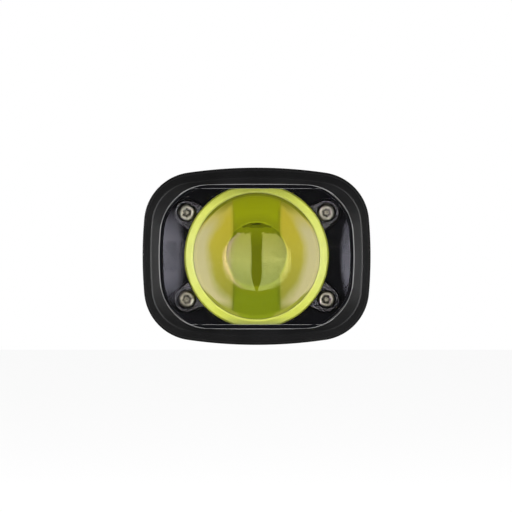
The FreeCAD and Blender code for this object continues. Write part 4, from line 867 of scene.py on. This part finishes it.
def face_out(mesh):
    """Merge doubles and point every face of a closed mesh outwards."""
    work = bmesh.new()
    work.from_mesh(mesh)
    bmesh.ops.remove_doubles(work, verts=work.verts, dist=SAME_PLACE / 10)
    bmesh.ops.recalc_face_normals(work, faces=work.faces)
    work.to_mesh(mesh)
    work.free()


print("mesh helpers ready")

# %% Skin with soft edges
def skin(name, rows, looped=False, segments=4):
    """Piece with quads between rows of (points in metres, softness in millimetres).

    A row of one point is a pole. A looped skin goes back from its last row to its first.
    """
    work = bmesh.new()
    weight = work.edges.layers.float.new("bevel_weight_edge")
    widest = max(soft for points, soft in rows)
    rings = [[work.verts.new(spot) for spot in points] for points, soft in rows]
    for first, second in zip(rings, rings[1:] + (rings[:1] if looped else [])):
        count = max(len(first), len(second))
        for number in range(count):
            after = (number + 1) % count
            ahead = [first[number], first[after]] if len(first) > 1 else first
            back = [second[after], second[number]] if len(second) > 1 else second
            work.faces.new(ahead + back)
    for ring_verts, (points, soft) in zip(rings, rows):
        for number, vert in enumerate(ring_verts if soft else []):
            work.edges.get((vert, ring_verts[number - 1]))[weight] = soft / widest
    bmesh.ops.recalc_face_normals(work, faces=work.faces)
    mesh = bpy.data.meshes.new(name)
    work.to_mesh(mesh)
    work.free()
    piece = link_mesh(name, mesh)
    bevel = piece.modifiers.new("soft edges", "BEVEL")
    bevel.limit_method = "WEIGHT"
    bevel.width = widest * MM
    bevel.segments = segments
    return baked(piece)


print("skin ready")

# %% [markdown]
# ## Handing a piece over
# Every piece ends the same way. It is shaded smooth except at sharp edges, weighted normals keep
# its flats flat, and it gets the finish of its CAD node's slot. Then it stands in for that node, on
# the body that carries it.

# %% Finish and hand-over
def settle(piece, node, body="lamp", sharp=30.0):
    """Shade the piece, give it its finish, and let it stand for its CAD node on its body."""
    slot = slot_of[node]
    piece.data.shade_smooth()
    piece.data.set_sharp_from_angle(angle=math.radians(sharp))
    flat_stays_flat = piece.modifiers.new("weighted normals", "WEIGHTED_NORMAL")
    flat_stays_flat.keep_sharp = True
    baked(piece)
    piece.data.materials.clear()
    piece.data.materials.append(finishes[slot].material)
    join_lit_groups(piece, node)
    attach(piece, body)
    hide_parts(node)
    print(f"{piece.name}: {len(piece.data.polygons)} faces, {slot}")
    return piece


slot_of = {part["node"]: part["material_slot"] for part in frame["record"]["subparts"]}
print(len(slot_of), "nodes have a slot")

# %% [markdown]
# ## Bezel
# The bezel is a cast frame that clamps the cover. Its cross-section leans back on both sides of a
# crest, so light always finds one thin line to follow. The skin is closed from the crest over the
# flank and the skirt, round the rear, through the pocket for the cover's flange, and back to the
# crest. The small steps matter: the skirt's edge is what draws the light line round the outline.

# %% Bezel skin
COVER_FLANGE, LIP_DEPTH = 2.0, 1.6           # millimetres, as are all sizes below
CREST_INSET, CREST_INSET_TOP = 2.6, 3.0
FLANK_INSET, FLANK_DEPTH = 0.9, 4.0
SKIRT_INSET, SKIRT_HEIGHT = 0.3, 0.8
POCKET_GAP = 0.15
CREST_SOFT, EDGE_SOFT, STEP_SOFT, CRISP = 0.35, 0.3, 0.12, 0.1   # how far edges are rounded
flange_front = cover_rear - COVER_FLANGE
skirt_depth = bezel_rear - SKIRT_HEIGHT


def outline_row(sizes, depth, soft=0.0):
    """One row of a skin: an outline at a depth, and how far its edge is rounded."""
    return [Vector((x * MM, at_depth(depth), z * MM)) for x, z in outline(*sizes)], soft


pocket = grown(seat_sizes, POCKET_GAP)
crest = list(grown(bezel_sizes, -CREST_INSET))
crest[1] = bezel_sizes[1] - CREST_INSET_TOP
bezel = skin("bezel_frame", [
    outline_row(crest, 0.0, CREST_SOFT),
    outline_row(grown(bezel_sizes, -FLANK_INSET), FLANK_DEPTH, EDGE_SOFT),
    outline_row(grown(bezel_sizes, -SKIRT_INSET), skirt_depth, STEP_SOFT),
    outline_row(bezel_sizes, skirt_depth, STEP_SOFT),
    outline_row(bezel_sizes, bezel_rear, STEP_SOFT),
    outline_row(pocket, bezel_rear),
    outline_row(pocket, flange_front),
    outline_row(window_sizes, flange_front, CRISP),
    outline_row(window_sizes, LIP_DEPTH, EDGE_SOFT),
], looped=True, segments=4)
settle(bezel, "front_bezel")

# %% [markdown]
# ## Where the bezel has a painted highlight
# The lip round the window, and the crest at the left and right, are painted paler as a painted
# highlight of edges that catch the light. Each face's depth and slope tell whether it belongs to
# either. The painted highlight on the crest grows so fast towards the sides that the top and bottom
# keep their black.

# %% Faces of the bezel with a painted highlight
LIP_FROM, LIP_TO = LIP_DEPTH - 0.4, LIP_DEPTH + 0.5     # depths in millimetres
CREST_TO = 0.3
LIP_SLOPE, CREST_SLOPE = (-0.8, -0.05), (-1.0, -0.75)   # of a face's normal, along Y
CREST_HIGHLIGHT, CREST_POWER = 0.3, 6

# a lip face gets the full painted highlight, a crest face a share that grows towards the sides
highlight_levels = []
for face in bezel.data.polygons:
    depth, slope = (face.center.y - crest_y) / MM, face.normal.y
    faces_in = face.center.x * face.normal.x + face.center.z * face.normal.z < 0
    at_lip = faces_in and LIP_FROM < depth < LIP_TO and LIP_SLOPE[0] < slope < LIP_SLOPE[1]
    at_crest = depth < CREST_TO and CREST_SLOPE[0] < slope < CREST_SLOPE[1]
    sideways = abs(face.center.x) / MM / bezel_sizes[0]
    crest_level = CREST_HIGHLIGHT * sideways ** CREST_POWER if at_crest else 0.0
    highlight_levels.append(1.0 if at_lip else crest_level)
bezel.data.attributes.new("rubbed", "FLOAT", "FACE").data.foreach_set("value", highlight_levels)
print(sum(level > 0 for level in highlight_levels), "faces on its rubbed edges")

# %% [markdown]
# ## Cover
# The cover is one clear moulding: a slightly domed window that stands up from a flat flange, with
# a flat back. Light bends where it goes in and where it comes out, so a clear piece has to be a
# closed solid. The dome is part of a sphere, so each row is the outline shrunk towards the centre
# and set back by the sphere's fall. The window's front edge is rounded, as on any moulding, and
# that round and the wall behind it are painted black, a painted dark line in place of the one that
# refraction draws there, so that they don't pipe the ring's colour round the window. An attribute
# on the faces tells the material where.

# %% Cover skin
COVER_MOAT, COVER_EDGE_R = 0.62, 0.45        # millimetres
DOME_SHARES = (*(number / 20 for number in range(1, 20)), 0.985, 1.0)
DARK_PAINT_SLOPE = 0.97             # faces whose normal has less than this along Y are painted dark


def domed(points, share):
    """The outline shrunk to a share of its size and laid on the cover's sphere."""
    for x, z in points:
        fall = COVER_DOME_R - math.sqrt(COVER_DOME_R ** 2 - (x * share) ** 2 - (z * share) ** 2)
        yield Vector((x * share * MM, at_depth(cover_apex + fall), z * share * MM))


plateau = grown(window_sizes, -COVER_MOAT)
dome_rows = [(list(domed(outline(*plateau), share)), 0.0) for share in DOME_SHARES]
dome_rows[-1] = (dome_rows[-1][0], COVER_EDGE_R)
cover_piece = skin("cover_plate", [
    ([Vector((0, at_depth(cover_apex), 0))], 0.0),
    *dome_rows,
    outline_row(plateau, flange_front),
    outline_row(seat_sizes, flange_front, CRISP),
    outline_row(seat_sizes, cover_rear, CRISP),
    ([Vector((0, at_depth(cover_rear), 0))], 0.0),
], segments=6)
settle(cover_piece, "cover_lens", sharp=35)
cover_piece.visible_shadow = False
# leaning faces of the rim get the painted dark line
leans = [float(abs(face.normal.y) < DARK_PAINT_SLOPE) for face in cover_piece.data.polygons]
cover_piece.data.attributes.new("dark_edge_paint", "FLOAT", "FACE").data.foreach_set("value", leans)
print(int(sum(leans)), "faces of the cover are printed")

# %% [markdown]
# ## Gasket
# The cover's flange presses on a cord of silicone. It follows the cover's own outline, so it is
# one more skin, with four rounded edges.

# %% Gasket behind the cover
GASKET_WIDTH = 1.1             # millimetres
gasket_front, gasket_rear = depths("cover_gasket")
chamber = grown(seat_sizes, -GASKET_WIDTH)
gasket = skin("gasket_cord", [
    outline_row(seat_sizes, gasket_front, EDGE_SOFT),
    outline_row(seat_sizes, gasket_rear, EDGE_SOFT),
    outline_row(chamber, gasket_rear, EDGE_SOFT),
    outline_row(chamber, gasket_front, EDGE_SOFT),
], looped=True, segments=3)
settle(gasket, "cover_gasket")

# %% [markdown]
# ## A lathe made of nodes
# Rings, lenses, washers and screws are all turned shapes: a profile swept once round an axis. One
# Geometry Nodes tree can be the lathe for all of them. Its input is a mesh of loose points, the
# profile, in order. The tree makes a grid with one row for each profile point and one column for
# each step round, looks every vertex's profile point up by its row, and swings it to its column's
# angle. First come two helpers for any tree: one starts it, the other runs it as a modifier.

# %% Trees as modifiers
def new_tree(name, sockets):
    """Empty modifier tree with named inputs, and its two end nodes."""
    tree = bpy.data.node_groups.new(name, "GeometryNodeTree")
    tree.is_modifier = True
    tree.interface.new_socket("Geometry", in_out="INPUT", socket_type="NodeSocketGeometry")
    for title, kind in sockets:
        tree.interface.new_socket(title, in_out="INPUT", socket_type="NodeSocket" + kind)
    tree.interface.new_socket("Geometry", in_out="OUTPUT", socket_type="NodeSocketGeometry")
    return tree, tree.nodes.new("NodeGroupInput").outputs, tree.nodes.new("NodeGroupOutput").inputs


def run_tree(piece, tree, values):
    """Give the piece a tree as its modifier, with its inputs by name, and take the result."""
    modifier = piece.modifiers.new(tree.name, "NODES")
    modifier.node_group = tree
    for item in tree.interface.items_tree:
        if item.in_out == "INPUT" and item.name in values:
            modifier[item.identifier] = values[item.name]
    return baked(piece)


print("tree helpers ready")

# %% Grid and look-up of the lathe
lathe, given, result = new_tree("lathe", [
    ("Segments", "Int"), ("Rows", "Int"), ("Material", "Material"), ("Star Depth", "Float"),
    ("Grip Count", "Int"), ("Grip Depth", "Float"),
    ("Thread Pitch", "Float"), ("Thread Depth", "Float")])
columns = calc(lathe, "ADD", given["Segments"], 1.0)
grid = add(lathe, "GeometryNodeMeshGrid", {"Vertices X": columns, "Vertices Y": given["Rows"]})
index = add(lathe, "GeometryNodeInputIndex").outputs[0]
row = calc(lathe, "MODULO", index, given["Rows"])
column = calc(lathe, "FLOOR", calc(lathe, "DIVIDE", index, given["Rows"]))
turns = calc(lathe, "DIVIDE", column, given["Segments"])
angle = calc(lathe, "MULTIPLY", turns, math.tau)


def looked_up(field, data_type):
    """What a field says at this row's profile point."""
    return add(lathe, "GeometryNodeSampleIndex",
               {"Geometry": given["Geometry"], "Index": row, "Value": field},
               data_type=data_type).outputs[0]


def mark(name):
    """How strongly this row's profile point carries a mark, from 0 to 1."""
    named = add(lathe, "GeometryNodeInputNamedAttribute", {"Name": name}, data_type="FLOAT")
    return looked_up(named.outputs[0], "FLOAT")


position = add(lathe, "ShaderNodeSeparateXYZ",
               {0: looked_up(add(lathe, "GeometryNodeInputPosition").outputs[0], "FLOAT_VECTOR")})
radius, height = position.outputs["X"], position.outputs["Z"]
print("the grid looks up a profile, row by row")

# %% [markdown]
# ## Three marks
# A profile point may carry marks, and they change its radius on the way round. A key mark gives the
# walls of a recess: six flats, or six lobes when the star's depth isn't zero. A grip mark gives the
# ripple of knurling. A thread mark cuts a groove whose place along the axis moves on by one pitch
# in each turn, which makes a helix.

# %% Recess, knurling and thread
SIDES = 6
half_side = math.pi / SIDES
flat_turn = calc(lathe, "SUBTRACT", calc(lathe, "MODULO", angle, 2 * half_side), half_side)
flats = calc(lathe, "DIVIDE", math.cos(half_side), calc(lathe, "COSINE", flat_turn))
wave = calc(lathe, "COSINE", calc(lathe, "MULTIPLY", angle, float(SIDES)))
half_depth = calc(lathe, "DIVIDE", given["Star Depth"], 2.0)
lobes = calc(lathe, "MULTIPLY", calc(lathe, "SUBTRACT", wave, 1.0), half_depth)
is_star = calc(lathe, "GREATER_THAN", given["Star Depth"], 0.0)
is_hexagon = calc(lathe, "SUBTRACT", 1.0, is_star)
flats = calc(lathe, "MULTIPLY", calc(lathe, "SUBTRACT", flats, 1.0), is_hexagon)
key_change = calc(lathe, "MULTIPLY", calc(lathe, "ADD", flats, lobes), mark("key"))

ripple = calc(lathe, "COSINE", calc(lathe, "MULTIPLY", angle, given["Grip Count"]))
ripple = calc(lathe, "MULTIPLY", calc(lathe, "SUBTRACT", ripple, 1.0), given["Grip Depth"])
grip_change = calc(lathe, "MULTIPLY", ripple, mark("grip"))

pitches = calc(lathe, "DIVIDE", height, given["Thread Pitch"])
phase = calc(lathe, "FRACT", calc(lathe, "ADD", pitches, turns))
groove = calc(lathe, "ABSOLUTE", calc(lathe, "SUBTRACT", calc(lathe, "MULTIPLY", phase, 2.0), 1.0))
groove = calc(lathe, "MULTIPLY", groove, given["Thread Depth"])
cut = calc(lathe, "MULTIPLY", groove, mark("thread"))
print("three marks change the radius")

# %% [markdown]
# ## Swing and close
# The changed radius is swung to its column's angle. Every vertex keeps its key mark as an
# attribute that marks the recess, where the metal gets a painted shade. The first and last column
# lie on each other, and a row on the axis is one point many times over, so what coincides is
# merged.

# %% Sweep of the lathe
factor = calc(lathe, "ADD", calc(lathe, "ADD", key_change, grip_change), 1.0)
swept = calc(lathe, "SUBTRACT", calc(lathe, "MULTIPLY", radius, factor), cut)
place = add(lathe, "ShaderNodeCombineXYZ", {
    "X": calc(lathe, "MULTIPLY", swept, calc(lathe, "COSINE", angle)),
    "Y": calc(lathe, "MULTIPLY", swept, calc(lathe, "SINE", angle)), "Z": height})
turned_grid = add(lathe, "GeometryNodeSetPosition",
                  {"Geometry": grid.outputs["Mesh"], "Position": place.outputs[0]})
marked = add(lathe, "GeometryNodeStoreNamedAttribute",
             {"Geometry": turned_grid.outputs[0], "Name": "recess", "Value": mark("key")},
             data_type="FLOAT")
closed = add(lathe, "GeometryNodeMergeByDistance",
             {"Geometry": marked.outputs[0], "Distance": SAME_PLACE})
real = add(lathe, "GeometryNodeRealizeInstances", {"Geometry": closed.outputs[0]})
dressed = add(lathe, "GeometryNodeSetMaterial",
              {"Geometry": real.outputs[0], "Material": given["Material"]})
lathe.links.new(dressed.outputs[0], result[0])
print("lathe:", len(lathe.nodes), "nodes")

# %% [markdown]
# ## Profiles
# A profile is a list of radius and height, in millimetres, from the axis at one end to the axis at
# the other, or once round for a ring. No real edge is perfectly sharp, so a small helper replaces
# each corner by a short curve. It also makes the shading sound, because the curve gives each flat
# its own normals.

# %% Eased corners
EDGE_SHARE = 2.1               # a curve takes a little less than half of an edge
CURVE_STEPS = 3


def eased(corners, ease, closed=False):
    """The profile with each corner replaced by a short curve that starts and ends at the ease."""
    made = []
    last = len(corners) - 1
    for number, corner in enumerate(corners):
        if not closed and number in (0, last):
            made.append(corner)
            continue
        here, before = Vector(corner), Vector(corners[number - 1])
        after = Vector(corners[(number + 1) % len(corners)])
        start = here + (before - here).normalized() * min(ease, (before - here).length / EDGE_SHARE)
        end = here + (after - here).normalized() * min(ease, (after - here).length / EDGE_SHARE)
        for step in range(CURVE_STEPS + 1):
            share = step / CURVE_STEPS
            bend = start * (1 - share) ** 2 + here * 2 * share * (1 - share) + end * share ** 2
            made.append(tuple(bend))
    return made + made[:1] if closed else made


print("each eased corner has", CURVE_STEPS + 1, "points")

# %% [markdown]
# ## From profile to piece
# A piece is turned standing up, about Z. The ones on the lens axis are then laid down, so that what
# was a height is now a depth.

# %% Turned pieces
def lathe_piece(name, profile, slot, marks=None, segments=96, **settings):
    """Turned piece about Z from (radius, height) points; marks holds a list of numbers per mark."""
    mesh = bpy.data.meshes.new(name)
    mesh.from_pydata([(r * MM, 0, z * MM) for r, z in profile], [], [])
    for title in ("key", "grip", "thread"):
        values = (marks or {}).get(title) or [0.0] * len(profile)
        mesh.attributes.new(title, "FLOAT", "POINT").data.foreach_set("value", values)
    piece = link_mesh(name, mesh)
    run_tree(piece, lathe, {
        "Segments": segments, "Rows": len(profile), "Material": finishes[slot].material,
        "Thread Pitch": MM, **settings})
    face_out(piece.data)
    return piece


def on_lens_axis(piece):
    """Lay a piece turned about Z on the lens axis; its heights were minus its depths."""
    laid_down = Matrix.Rotation(math.radians(90), 4, "X")
    piece.data.transform(Matrix.Translation((0, crest_y, 0)) @ laid_down)
    return piece


def turned_at_depths(name, profile, node, segments=128, closed=False, ease=0.08):
    """Turned piece from (radius, depth) corners that stands for a node on the lens axis."""
    rows = eased([(radius, -depth) for radius, depth in profile], ease, closed)
    piece = on_lens_axis(lathe_piece(name, rows, slot_of[node], segments=segments))
    return settle(piece, node)


print("turned pieces ready")

# %% [markdown]
# ## Lens, ring and seal
# The projector lens is a plano-convex bull's eye: one spherical face, a narrow flat rim to hold it
# by, and a flat back. The lime ring screws over it from the front. Its lip stands proud of the
# glass, and the lip's inner chamfer, with its painted highlight, is the brightest part of the ring.

# %% Turn the lens and what holds it
LENS_EDGE, LENS_GAP = 2.0, 0.15              # millimetres, as are all sizes below
RING_CHAMFER, RING_BEVEL = 0.5, 0.45         # of the lip, inside and outside
BORE_GAP, THREAD_GAP = 0.1, 0.05
SEAL_WIDTH = 1.3
ARC_ROWS = 28
lens_edge_r = half_size("projector_lens")[0]
lens_front = lens_rear - LENS_EDGE
half_turn = math.asin(LENS_CLEAR_R / LENS_FACE_R)
arc = [half_turn * number / ARC_ROWS for number in range(ARC_ROWS + 1)]
face = [(LENS_FACE_R * math.sin(turn), lens_apex + LENS_FACE_R * (1 - math.cos(turn)))
        for turn in arc]
lens_profile = face + [(lens_edge_r, lens_front), (lens_edge_r, lens_rear), (0.0, lens_rear)]
lens_piece = turned_at_depths("lens_glass_body", lens_profile, "projector_lens",
                              segments=160, ease=0.05)
lens_piece.visible_shadow = False

ring_r, seal_r = half_size("lens_ring")[0], half_size("lens_seal")[0]
thread_r = half_size("lens_barrel")[0] + THREAD_GAP
ring_bore, pocket_r = LENS_CLEAR_R + BORE_GAP, lens_edge_r + LENS_GAP
turned_at_depths("ring_lime", [
    (ring_bore + RING_CHAMFER, ring_front), (ring_r - RING_BEVEL, ring_front),
    (ring_r, ring_front + RING_BEVEL), (ring_r, ring_rear),
    (thread_r, ring_rear), (thread_r, barrel_front), (pocket_r, barrel_front),
    (pocket_r, lens_front), (ring_bore, lens_front),
    (ring_bore, ring_front + RING_CHAMFER)], "lens_ring", closed=True)
turned_at_depths("seal_flat", [
    (seal_r, lens_rear), (seal_r, barrel_front), (seal_r - SEAL_WIDTH, barrel_front),
    (seal_r - SEAL_WIDTH, lens_rear)], "lens_seal", closed=True)

# %% [markdown]
# ## Screws at their stations
# Every screw in the lamp comes in a set that points one way. So a second tree sets a turned screw
# on each of a list of points: it aligns the screw with the point's own direction, spins it by a
# random but fixed angle, as a real one ends up, and makes the copies real.

# %% The stations tree
stations, given, result = new_tree("stations", [
    ("Fastener", "Object"), ("Seed", "Int"), ("Material", "Material")])
source = add(stations, "GeometryNodeObjectInfo",
             {"Object": given["Fastener"], "As Instance": True})
ways = add(stations, "GeometryNodeInputNamedAttribute", {"Name": "way"}, data_type="FLOAT_VECTOR")
aligned = add(stations, "FunctionNodeAlignRotationToVector", {"Vector": ways.outputs[0]}, axis="Z")
chance = add(stations, "FunctionNodeRandomValue", {"Seed": given["Seed"]}, data_type="FLOAT")
chance.inputs[3].default_value = math.tau
spin = add(stations, "FunctionNodeAxisAngleToRotation",
           {"Axis": (0, 0, 1), "Angle": chance.outputs[1]})
turned = add(stations, "FunctionNodeRotateRotation",
             {"Rotation": aligned.outputs[0], "Rotate By": spin.outputs[0]},
             rotation_space="LOCAL")
points = add(stations, "GeometryNodeMeshToPoints", {"Mesh": given["Geometry"]})
placed = add(stations, "GeometryNodeInstanceOnPoints", {
    "Points": points.outputs[0], "Instance": source.outputs["Geometry"],
    "Rotation": turned.outputs[0]})
real = add(stations, "GeometryNodeRealizeInstances", {"Geometry": placed.outputs[0]})
dressed = add(stations, "GeometryNodeSetMaterial",
              {"Geometry": real.outputs[0], "Material": given["Material"]})
stations.links.new(dressed.outputs[0], result[0])
print("stations:", len(stations.nodes), "nodes")

# %% [markdown]
# ## Where the stations are
# The stations aren't typed in. A set's CAD node holds one solid for each screw, so walking from
# vertex to vertex splits its mesh into solids, and their boxes give each screw's place and length.
# Copies of a fastener are then set at spots, each of which is a place and a way to point.

# %% Solids and stations
def solids_of(node):
    """Box of each separate solid in a CAD node, as (low corner, high corner)."""
    work = bmesh.new()
    work.from_mesh(nodes[node].data)
    bmesh.ops.remove_doubles(work, verts=work.verts, dist=SAME_PLACE)
    left, boxes = set(work.verts), []
    while left:
        reached, waiting = set(), [left.pop()]
        while waiting:
            vert = waiting.pop()
            reached.add(vert)
            near = {edge.other_vert(vert) for edge in vert.link_edges} & left
            left -= near
            waiting.extend(near)
        boxes.append([Vector(pick(vert.co[axis] for vert in reached) for axis in range(3))
                      for pick in (min, max)])
    work.free()
    return sorted(boxes, key=lambda pair: tuple(pair[0]))


def at_stations(name, node, fastener, spots, body="lamp"):
    """Copies of a turned piece at (place, way) spots, standing for a node."""
    mesh = bpy.data.meshes.new(name)
    mesh.from_pydata([place for place, way in spots], [], [])
    mesh.attributes.new("way", "FLOAT_VECTOR", "POINT").data.foreach_set(
        "vector", [part for place, way in spots for part in way])
    piece = link_mesh(name, mesh)
    run_tree(piece, stations, {
        "Fastener": fastener, "Seed": len(node), "Material": finishes[slot_of[node]].material})
    bpy.data.objects.remove(fastener)
    return settle(piece, node, body)


print("fasteners can be set at", len(solids_of("carrier_screws")), "stations round the lens")

# %% [markdown]
# ## Three kinds of head
# A button head is a low dome, a cap head is a tall drum with a knurled side, and a pan head is a
# flat button. The four screws round the lens have a six-lobed recess with a pin in its middle, so
# that an ordinary driver won't turn them. The others have a hexagon. The shank carries a true
# thread that starts a little below the head and stops short of the tip.

# %% Screw profiles
ROWS_PER_PITCH, DOME_ROWS = 6, 8
FLOOR, FLOOR_PINNED = 0.5, 0.3               # heights of the recess's floor, in head heights
PIN_R, PIN_TOP, PIN_EDGE = 0.34, 0.9, 0.82   # in radii of the recess, and in head heights
LEAD_IN, LEAD_IN_PINNED = 0.1, 0.37          # width round the recess's mouth, in millimetres
LEAD_IN_SLOPE = 0.55                         # its depth as a share of its width
BUTTON_TOP, DOME_FOOT, DOME_FLAT = 0.97, 0.3, 0.08
CAP_EDGE = ((0.3, 0.0), (0.12, 0.04), (0.0, 0.22))      # in from the side, down from the top
KNURL_TOP, KNURL_FOOT = 0.4, 0.3             # down from the top, and up from the seat
UNDERCUT, NECK = 0.08, 0.1
THREAD_START, THREAD_END = 1.0, 0.6          # in pitches, from the head and from the tip
TIP = ((0.78, 0.02), (0.7, 0.0))             # shares of the shank's radius, and heights


def screw_profile(kind, head_r, head_h, key_r, pinned, shank_r, length, pitch):
    """Rows of a screw from the recess to the tip, and their marks."""
    bottom = head_h * (FLOOR_PINNED if pinned else FLOOR)
    rows, marks = [], {"key": [], "grip": [], "thread": []}

    def put(r, z, **mark_values):
        """One more row, with its marks."""
        rows.append((r, z))
        for title, values in marks.items():
            values.append(mark_values.get(title, 0.0))

    if pinned:
        pin_r = key_r * PIN_R
        put(0.0, head_h * PIN_TOP)
        put(pin_r * 0.7, head_h * PIN_TOP)
        put(pin_r, head_h * PIN_EDGE)
        put(pin_r, bottom)
    else:
        put(0.0, bottom)
    put(key_r * 0.9, bottom, key=0.9)
    put(key_r, bottom + 0.08 * head_h, key=1.0)
    top = head_h * (BUTTON_TOP if kind == "button" else 1.0)
    lead_in = LEAD_IN_PINNED if pinned else LEAD_IN
    put(key_r, top - LEAD_IN_SLOPE * lead_in, key=1.0)
    put(key_r + lead_in, top, key=0.25)
    if kind == "cap":
        for inset, drop in CAP_EDGE:
            put(head_r - inset, head_h - drop)
        put(head_r, head_h - KNURL_TOP, grip=1.0)
        put(head_r, KNURL_FOOT, grip=1.0)
        put(head_r, KNURL_FOOT / 2)
    else:
        flat = key_r + lead_in + DOME_FLAT
        low = head_h * DOME_FOOT
        for number in range(DOME_ROWS + 1):
            turn = math.radians(90 * number / DOME_ROWS)
            put(flat + (head_r - flat) * math.sin(turn), low + (head_h - low) * math.cos(turn))
    put(head_r - UNDERCUT, 0.0)
    put(shank_r + NECK, 0.0)
    put(shank_r, -NECK)
    start, end = -THREAD_START * pitch, -(length - THREAD_END * pitch)
    put(shank_r, start)
    count = int((start - end) / pitch * ROWS_PER_PITCH)
    for number in range(1, count + 1):
        put(shank_r, start + (end - start) * number / count, thread=1.0)
    for share, rise_from_tip in TIP:
        put(shank_r * share, -length + rise_from_tip)
    put(0.0, -length)
    return rows, marks


print("heads ready, with", ROWS_PER_PITCH, "rows to a pitch of thread")

# %% [markdown]
# ## All the screws
# One line says what a set of screws is. Its way is an axis, or out for the pivot bolts, which face
# away from the lamp on both sides. A solid's box gives the length along that way and the width
# across it, so the turned screw fills exactly the room that its CAD solid had.

# %% Screws
AXES = {"x": Vector((1, 0, 0)), "y": Vector((0, 1, 0)), "z": Vector((0, 0, 1))}
SCREWS = {                     # kind, way, head height, key radius, pinned, shank radius, pitch
    "carrier_screws": ("button", "-y", 1.65, 1.05, True, 1.5, 0.5),
    "bezel_screws": ("cap", "y", 2.5, 1.0, False, 1.25, 0.45),
    "pivot_bolts": ("button", "out", 3.3, 2.0, False, 3.0, 1.0),
    "inlet_screws": ("pan", "-z", 1.2, 0.7, False, 1.0, 0.4),
    "shield_screws": ("pan", "y", 1.2, 0.7, False, 1.0, 0.4),
    "led_board_screws": ("pan", "-y", 1.2, 0.7, False, 1.0, 0.4),
    "driver_screws": ("pan", "-y", 1.2, 0.7, False, 1.0, 0.4),
}
SEGMENTS = {"cap": 72, "button": 48, "pan": 48}
THREAD_SHARE = 0.3             # the thread's depth as a share of its pitch
STAR_DEPTH = 0.26              # as a share of the recess's radius
GRIPS, GRIP_DEPTH = 18, 0.025  # how many ripples, and half their depth as a share of the radius
for node, (kind, way_name, head_h, key_r, pinned, shank_r, pitch) in SCREWS.items():
    spots = []
    for lo, hi in solids_of(node):
        middle = (lo + hi) / 2
        if way_name == "out":
            way = AXES["x"] * (1 if middle.x > 0 else -1)
        else:
            way = AXES[way_name[-1]] * (-1 if way_name[0] == "-" else 1)
        reach = abs((hi - lo).dot(way)) / MM
        across = max(side for side, along in zip(hi - lo, way) if not along) / MM
        spots.append((middle + way * (reach / 2 - head_h) * MM, way))
    rows, marks = screw_profile(
        kind, across / 2, head_h, key_r, pinned, shank_r, reach - head_h, pitch)
    one = lathe_piece("one_" + node, rows, slot_of[node], marks, segments=SEGMENTS[kind], **{
        "Thread Pitch": pitch * MM, "Thread Depth": THREAD_SHARE * pitch * MM,
        "Star Depth": STAR_DEPTH if pinned else 0.0,
        "Grip Count": GRIPS, "Grip Depth": GRIP_DEPTH})
    at_stations("set_of_" + node, node, one, spots)

# %% [markdown]
# ## Washers
# The lathe and the stations make the washers too. The nylon ones stay with the bracket and the
# lock washers turn with the lamp, so they ride on different bodies.

# %% Washers at the pivots
WASHER_BORE_R, WASHER_EASE = 3.08, 0.15      # millimetres
for node, body in (("pivot_thrust_washers", "bracket"), ("pivot_lock_washers", "lamp")):
    boxes = solids_of(node)
    lo, hi = boxes[0]
    thick, outer = (hi.x - lo.x) / MM, (hi.z - lo.z) / 2 / MM
    rows = eased([(WASHER_BORE_R, 0.0), (outer, 0.0), (outer, thick), (WASHER_BORE_R, thick)],
                 WASHER_EASE, closed=True)
    one = lathe_piece("one_" + node, rows, slot_of[node], segments=72)
    spots = [(Vector((lo.x, lo.y / 2 + hi.y / 2, lo.z / 2 + hi.z / 2)), AXES["x"])
             for lo, hi in boxes]
    at_stations("set_of_" + node, node, one, spots, body)

# %% [markdown]
# ## The rest of the engineering
# The housing, the bracket and the small parts inside are already the right shape in the CAD model.
# What they lack is smooth shading, because each of their faces arrives as loose triangles. A copy
# of the mesh is merged along its seams, and only edges that turn sharply stay sharp. The copy first
# drops the normals that are stored in its corners, because merging scrambles them, and then flat
# faces shine in odd wedges. The model's own edges are already rounded where they are touched, and a
# bevel over its long thin triangles would throw spikes, so none is added.

# %% Smooth copies of the other nodes
def smooth_copy(node):
    """Copy of a CAD node's mesh with its seams merged and its stored normals dropped."""
    mesh = nodes[node].data.copy()
    stored = mesh.attributes.get("custom_normal")
    if stored:
        mesh.attributes.remove(stored)
    work = bmesh.new()
    work.from_mesh(mesh)
    bmesh.ops.remove_doubles(work, verts=work.verts, dist=SAME_PLACE)
    work.to_mesh(mesh)
    work.free()
    return link_mesh("smooth_" + node, mesh)


bodies = frame["record"]["behaviour"]["bodies"]
body_of = {node: body for body, members in bodies.items() for node in members}
for node in sorted(nodes):
    if not nodes[node].hide_render:
        settle(smooth_copy(node), node, body_of[node])

# %% [markdown]
# ## Size check
# Dressing mustn't change the size. So the box of the CAD model, kept at the start, is compared
# with the box of the dressed one, and how far the dressed one reaches outside it is printed.

# %% Sizes
seen_lo, seen_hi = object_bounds()
grew = [max(0.0, low - seen, top_seen - top) / MM
        for low, seen, top, top_seen in zip(cad_lo, seen_lo, cad_hi, seen_hi)]
print("outside the CAD box by", [round(amount, 4) for amount in grew], "mm")
